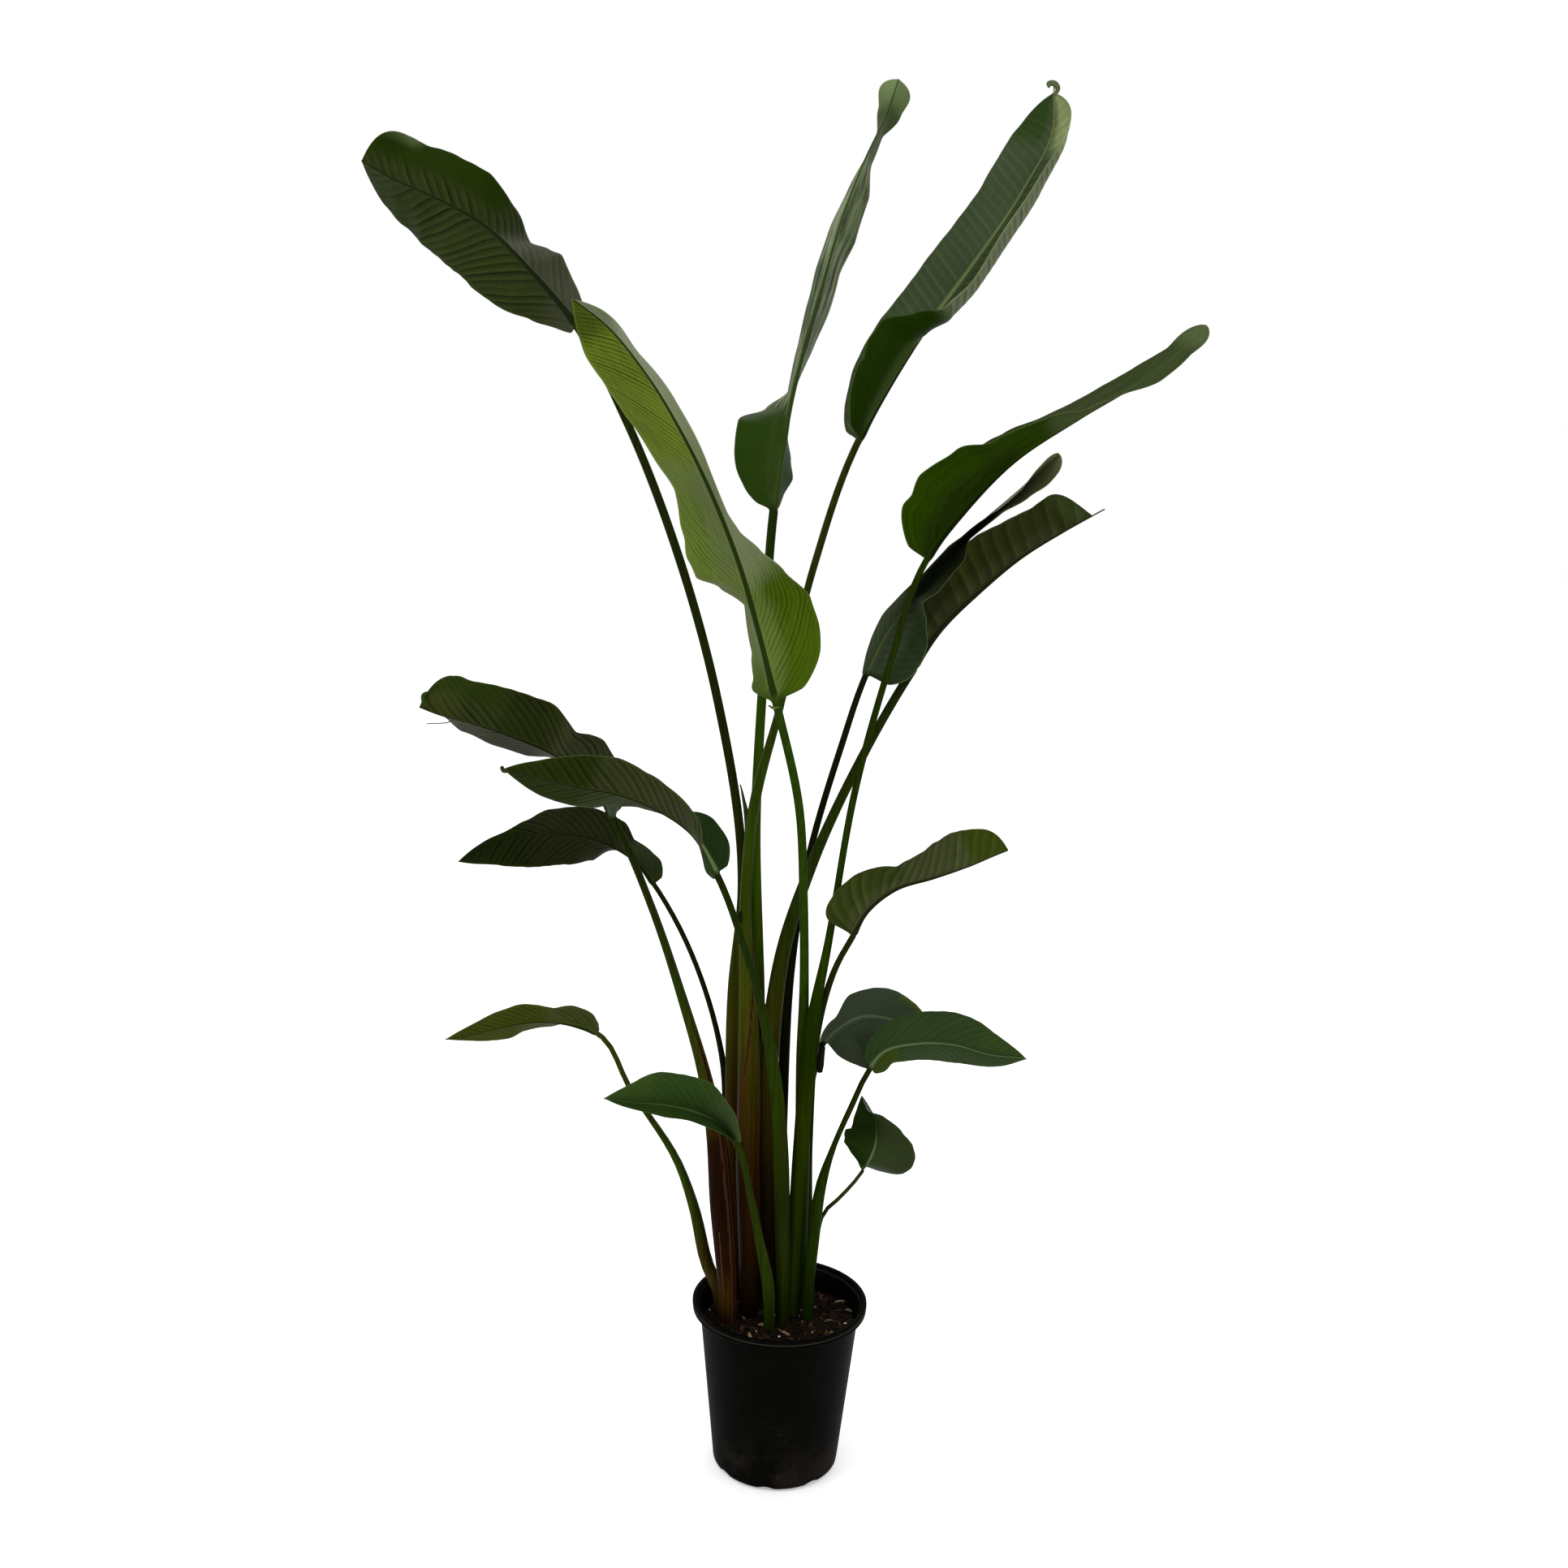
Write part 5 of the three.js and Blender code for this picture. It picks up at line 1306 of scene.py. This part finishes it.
lift = times(tree, times(tree, bite, near_edge), times(tree, low, given["Bite height"]))
place = add(tree, "ShaderNodeCombineXYZ", {
    0: times(tree, calc(tree, "COSINE", angle), radius),
    1: times(tree, calc(tree, "SINE", angle), radius),
    2: calc(tree, "ADD", height, lift)}).outputs[0]
wrapped = add(tree, "GeometryNodeSetPosition", {"Geometry": grid, "Position": place}).outputs[0]
closed = add(tree, "GeometryNodeMergeByDistance", {"Geometry": wrapped, "Distance": 0.00005}).outputs[0]
ring = add(tree, "GeometryNodeMeshCircle", {"Vertices": given["Drain holes"],
                                            "Radius": given["Drain circle"]})
drill = add(tree, "GeometryNodeMeshCylinder", {"Vertices": 24, "Radius": given["Drain radius"],
                                               "Depth": 0.03})
drills = add(tree, "GeometryNodeInstanceOnPoints", {"Points": ring.outputs[0], "Instance": drill.outputs[0]})
drills = add(tree, "GeometryNodeRealizeInstances", {0: drills.outputs[0]})
cut = add(tree, "GeometryNodeMeshBoolean", {0: closed, 1: drills.outputs[0]},
          operation="DIFFERENCE", solver="EXACT")
finish_geometry(tree, cut.outputs[0], given["Material"], put)

outline_mesh = bpy.data.meshes.new("pot_outline")
outline_mesh.from_pydata([(x * MM, 0, z * MM) for x, z in pot_outline],
                         [(i, i + 1) for i in range(len(pot_outline) - 1)], [])
print("pot turner:", len(tree.nodes), "nodes")

# %% [markdown]
# The pot's plastic is nearly black, with a dull satin shine. What makes it look used is faint: a grain
# from the mould, dust that has settled low on the wall, pale scuffs and a few specks of pale grit. A
# pale line round the lip is a painted highlight.

# %% Pot plastic
LIP_HIGHLIGHT_LOW, LIP_HIGHLIGHT_HIGH, SOFT_EDGE = 0.2395, 0.2435, 0.001
POT_GRIT = ((420.0, 0.22, 0.05, 0.5, (140, 132, 118)), (130.0, 0.10, 0.06, 0.6, (170, 160, 140)))

pot_plastic, tree, shader = new_material("black_pot_plastic")
where = object_place(tree)
level = add(tree, "ShaderNodeSeparateXYZ", {0: where}).outputs["Z"]
smudge = rough_noise(tree, where, 16.0, 5.0, 0.65)
tone = blend(tree, ramp(tree, smudge, 0.4, 0.7), paint(4, 4, 3), paint(8, 7, 6))
low_dust = times(tree, ramp(tree, level, 0.09, 0.0), ramp(tree, smudge, 0.42, 0.62))
tone = blend(tree, times(tree, low_dust, 0.1), tone, paint(80, 70, 56))
for scale, size, amount, strength, shade in POT_GRIT:
    dots = effect(tree, speck_group, {"Scale": scale, "Size": size, "Amount": amount})["Mask"]
    where_dusty = times(tree, dots, ramp(tree, smudge, 0.45, 0.6))
    tone = blend(tree, times(tree, where_dusty, strength), tone, paint(*shade))
scuffs = effect(tree, fibre_group, {"Scale": 90.0, "Stretch": 5.0, "Contrast": 3.0})["Streaks"]
scuff = times(tree, ramp(tree, scuffs, 0.8, 1.0), ramp(tree, smudge, 0.5, 0.65))
tone = blend(tree, times(tree, scuff, 0.04), tone, paint(120, 110, 98))
# Painted highlight: a thin pale line round the lip.
lip_highlight = times(tree, ramp(tree, level, LIP_HIGHLIGHT_LOW, LIP_HIGHLIGHT_LOW + SOFT_EDGE),
                 ramp(tree, level, LIP_HIGHLIGHT_HIGH, LIP_HIGHLIGHT_HIGH - SOFT_EDGE))
tone = blend(tree, times(tree, lip_highlight, 0.5), tone, paint(52, 50, 44))
dress(tree, shader, tone, calc(tree, "MULTIPLY_ADD", smudge, 0.3, 0.38), 0.01,
      rough_noise(tree, where, 900.0, 2.0), 0.25, 0.0003)

pot = grow("pot_moulded", outline_mesh, bpy.data.node_groups["pot_turner"], {
    "Steps round": POT_STEPS, "Bites": BITE_COUNT, "Bite height": BITE_HEIGHT * MM,
    "Foot height": BITE_FADE * MM, "Foot radius": FOOT_RADIUS * MM, "Drain holes": DRAIN_COUNT,
    "Drain circle": DRAIN_CIRCLE * MM, "Drain radius": DRAIN_RADIUS * MM, "Material": pot_plastic})
pot.data.shade_smooth()
pot.data.set_sharp_from_angle(angle=math.radians(SHARP_ANGLE))
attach(pot, "root")
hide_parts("pot")
print("pot:", len(pot.data.polygons), "faces")

# %% [markdown]
# Potting mix is lumpy and dark, and what one sees of it are its loose pieces: shreds of bark, round
# white grains of perlite and small crumbs. The body is a disc that heaps a little, with noise for its
# lumps, and it runs down inside the wall to the floor of the pot.

# %% Soil body
LUMP_SIZE, LUMP_HEIGHT = 9, 1.6


def soil_height(x, y):
    heap = math.sin(x / 17 + 1) * math.cos(y / 14) * 0.6 + math.sin((x + 2 * y) / 23) * 0.4
    lumps = noise.fractal(Vector((x / LUMP_SIZE, y / LUMP_SIZE, 0.3)), 0.6, 2.0, 4) * LUMP_HEIGHT
    return SOIL_TOP + 2 + SOIL_BUMP * heap + lumps


WALL_SLOPE = (SHOULDER_RADIUS - BASE_RADIUS) / (lip - FOOT_RISE)
SOIL_EDGE = BASE_RADIUS + WALL_SLOPE * (SOIL_TOP - FOOT_RISE) - POT_WALL - SOIL_GAP
SOIL_RINGS, SOIL_STEPS = 70, 180
soil_rings = [(SOIL_EDGE * ring / SOIL_RINGS, None) for ring in range(1, SOIL_RINGS + 1)]
soil_rings += [(SOIL_EDGE - 0.2, SOIL_TOP - 5), (BASE_RADIUS - POT_WALL - SOIL_GAP, FOOT_RISE + 1),
               (FOOT_RADIUS - 3, POT_FLOOR + 0.5)]
places, faces = [(0, 0, soil_height(0, 0))], []
for radius, level in soil_rings:
    for k in range(SOIL_STEPS):
        a = 2 * math.pi * k / SOIL_STEPS
        x, y = radius * math.cos(a), radius * math.sin(a)
        places.append((x, y, soil_height(x, y) if level is None else level))
places.append((0, 0, POT_FLOOR + 0.5))


def point(ring, k):
    return 1 + (ring - 1) * SOIL_STEPS + k % SOIL_STEPS


for k in range(SOIL_STEPS):
    faces.append((0, point(1, k), point(1, k + 1)))
    for ring in range(1, len(soil_rings)):
        faces.append((point(ring, k), point(ring + 1, k), point(ring + 1, k + 1), point(ring, k + 1)))
    faces.append((point(len(soil_rings), k + 1), point(len(soil_rings), k), len(places) - 1))
soil = solid_mesh("soil_body", np.array(places), faces)

soil_mix, tree, shader = new_material("dark_potting_mix")
clods = rough_noise(tree, object_place(tree), 120.0, 6.0, 0.7)
tone = blend(tree, ramp(tree, clods, 0.35, 0.7), paint(8, 5, 3), paint(26, 18, 11))
grit = effect(tree, speck_group, {"Scale": 260.0, "Size": 0.3, "Amount": 0.12})["Mask"]
tone = blend(tree, times(tree, grit, 0.5), tone, paint(56, 40, 26))
dress(tree, shader, tone, 0.95, 0.05, clods, 0.9, 0.002)
soil.data.materials.append(soil_mix)
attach(soil, "root")
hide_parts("soil")
print("soil body:", len(faces), "faces")

# %% [markdown]
# Each kind of loose piece starts as one rough splinter with a few uneven rings, drawn once from a
# fixed seed. It has only a few dozen faces, because it is repeated hundreds of times.

# %% Rough splinters and crumbs
FLAKE_SIDES = 6


def flake(name, length, width, depth, steps, seed):
    """A rough splinter or crumb: a few uneven rings closed at both ends."""
    draw = np.random.default_rng(seed)
    places, faces = [], []
    for i in range(steps):
        u = i / (steps - 1)
        swell = math.sin(math.pi * (0.12 + 0.76 * u))
        for k in range(FLAKE_SIDES):
            a = 2 * math.pi * k / FLAKE_SIDES
            wobble = 1 + draw.uniform(-0.25, 0.25)
            places.append(((u - 0.5) * length, math.cos(a) * width / 2 * swell * wobble,
                           math.sin(a) * depth / 2 * swell * wobble))
    for low in range(0, (steps - 1) * FLAKE_SIDES, FLAKE_SIDES):
        for k in range(FLAKE_SIDES):
            j, high = (k + 1) % FLAKE_SIDES, low + FLAKE_SIDES
            faces.append((low + k, low + j, high + j, high + k))
    faces.append(tuple(range(FLAKE_SIDES))[::-1])
    faces.append(tuple((steps - 1) * FLAKE_SIDES + k for k in range(FLAKE_SIDES)))
    places = np.array(places)
    mesh = bpy.data.meshes.new(name)
    mesh.from_pydata((places * MM).tolist(), [], outward(places, faces))
    return bpy.data.objects.new(name, mesh)


print("corners round a splinter:", FLAKE_SIDES)

# %% [markdown]
# The tree picks points on the upper side of the soil, away from the wall, and sets a turned and
# resized copy of the loose piece on each. The points and sizes come from a seed, which is one of
# its inputs, so the same pieces lie in the same places at every run.

# %% Tree that strews them
tree, given, put = new_tree("soil_scatter", [
    ("Loose piece", "Object"), ("Density", "Float"), ("Seed", "Int"), ("Smallest", "Float"),
    ("Largest", "Float"), ("Keep inside", "Float"), ("Lift", "Float"), ("Material", "Material")])
spot = add(tree, "ShaderNodeSeparateXYZ", {0: add(tree, "GeometryNodeInputPosition").outputs[0]}).outputs
tilt = add(tree, "ShaderNodeSeparateXYZ", {0: add(tree, "GeometryNodeInputNormal").outputs[0]}).outputs["Z"]
squares = calc(tree, "MULTIPLY_ADD", spot["X"], spot["X"], times(tree, spot["Y"], spot["Y"]))
from_axis = calc(tree, "SQRT", squares)
on_top = times(tree, calc(tree, "GREATER_THAN", tilt, 0.3),
               calc(tree, "LESS_THAN", from_axis, given["Keep inside"]))
points = add(tree, "GeometryNodeDistributePointsOnFaces", {
    "Mesh": given["Geometry"], "Density": given["Density"], "Seed": given["Seed"], "Selection": on_top})
turn = add(tree, "FunctionNodeRandomValue", {
    0: (-0.5, -0.5, -math.pi), 1: (0.5, 0.5, math.pi), "Seed": given["Seed"]}, data_type="FLOAT_VECTOR")
size = add(tree, "FunctionNodeRandomValue", {
    2: given["Smallest"], 3: given["Largest"], "Seed": given["Seed"]}, data_type="FLOAT")
shape = add(tree, "GeometryNodeObjectInfo", {0: given["Loose piece"]})
raise_by = add(tree, "ShaderNodeCombineXYZ", {2: given["Lift"]}).outputs[0]
lifted = add(tree, "GeometryNodeSetPosition", {"Geometry": points.outputs["Points"],
                                               "Offset": raise_by}).outputs[0]
placed = add(tree, "GeometryNodeInstanceOnPoints", {"Points": lifted, "Instance": shape.outputs["Geometry"],
                                                    "Rotation": turn.outputs[0], "Scale": size.outputs[1]})
finish_geometry(tree, placed.outputs[0], given["Material"], put)
print("soil scatter:", len(tree.nodes), "nodes")

# %% [markdown]
# The tree is run four times, for dark chips, pale chips, crumbs and white grains. Each row of the
# table gives the piece, how many lie on a square metre, the seed, the smallest and largest size, how
# far the pieces are lifted in millimetres, and their finish.


# %% Loose pieces on the soil
def grain_finish(name, dark, light, scale):
    material, tree, shader = new_material(name)
    change = rough_noise(tree, object_place(tree), scale)
    tone = blend(tree, ramp(tree, change, 0.35, 0.65), paint(*dark), paint(*light))
    dress(tree, shader, tone, 0.85, 0.05, effect(tree, fibre_group)["Fine"], 0.6, 0.0006)
    return material


CLEAR_OF_WALL = 5
LOOSE = {
    "bark_chips": (flake("bark_chip", 13, 5, 2.2, 5, 3), 4000, 4, 0.4, 1.3, 0.6,
                   grain_finish("bark_chip_finish", (18, 11, 6), (62, 42, 26), 60.0)),
    "pale_chips": (flake("pale_chip", 16, 6, 2.0, 6, 14), 420, 11, 0.5, 1.6, 1.2,
                   grain_finish("pale_chip_finish", (70, 52, 34), (136, 112, 82), 90.0)),
    "soil_crumbs": (flake("soil_crumb", 4, 3, 2.4, 4, 5), 70000, 8, 0.4, 1.5, 0.3,
                    grain_finish("soil_crumb_finish", (8, 5, 3), (32, 22, 14), 140.0)),
    "white_grains": (flake("white_grain", 3.4, 3, 2.8, 5, 9), 800, 2, 0.4, 1.3, 0.8,
                     grain_finish("white_grain_finish", (150, 146, 136), (226, 222, 212), 300.0)),
}
for name, (shape_object, density, seed, smallest, largest, lift, material) in LOOSE.items():
    piece = grow(name, soil.data.copy(), bpy.data.node_groups["soil_scatter"], {
        "Loose piece": shape_object, "Density": density, "Seed": seed, "Smallest": smallest,
        "Largest": largest, "Keep inside": (SOIL_EDGE - CLEAR_OF_WALL) * MM, "Lift": lift * MM,
        "Material": material})
    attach(piece, "root")
    print(name + ":", len(piece.data.polygons), "faces")
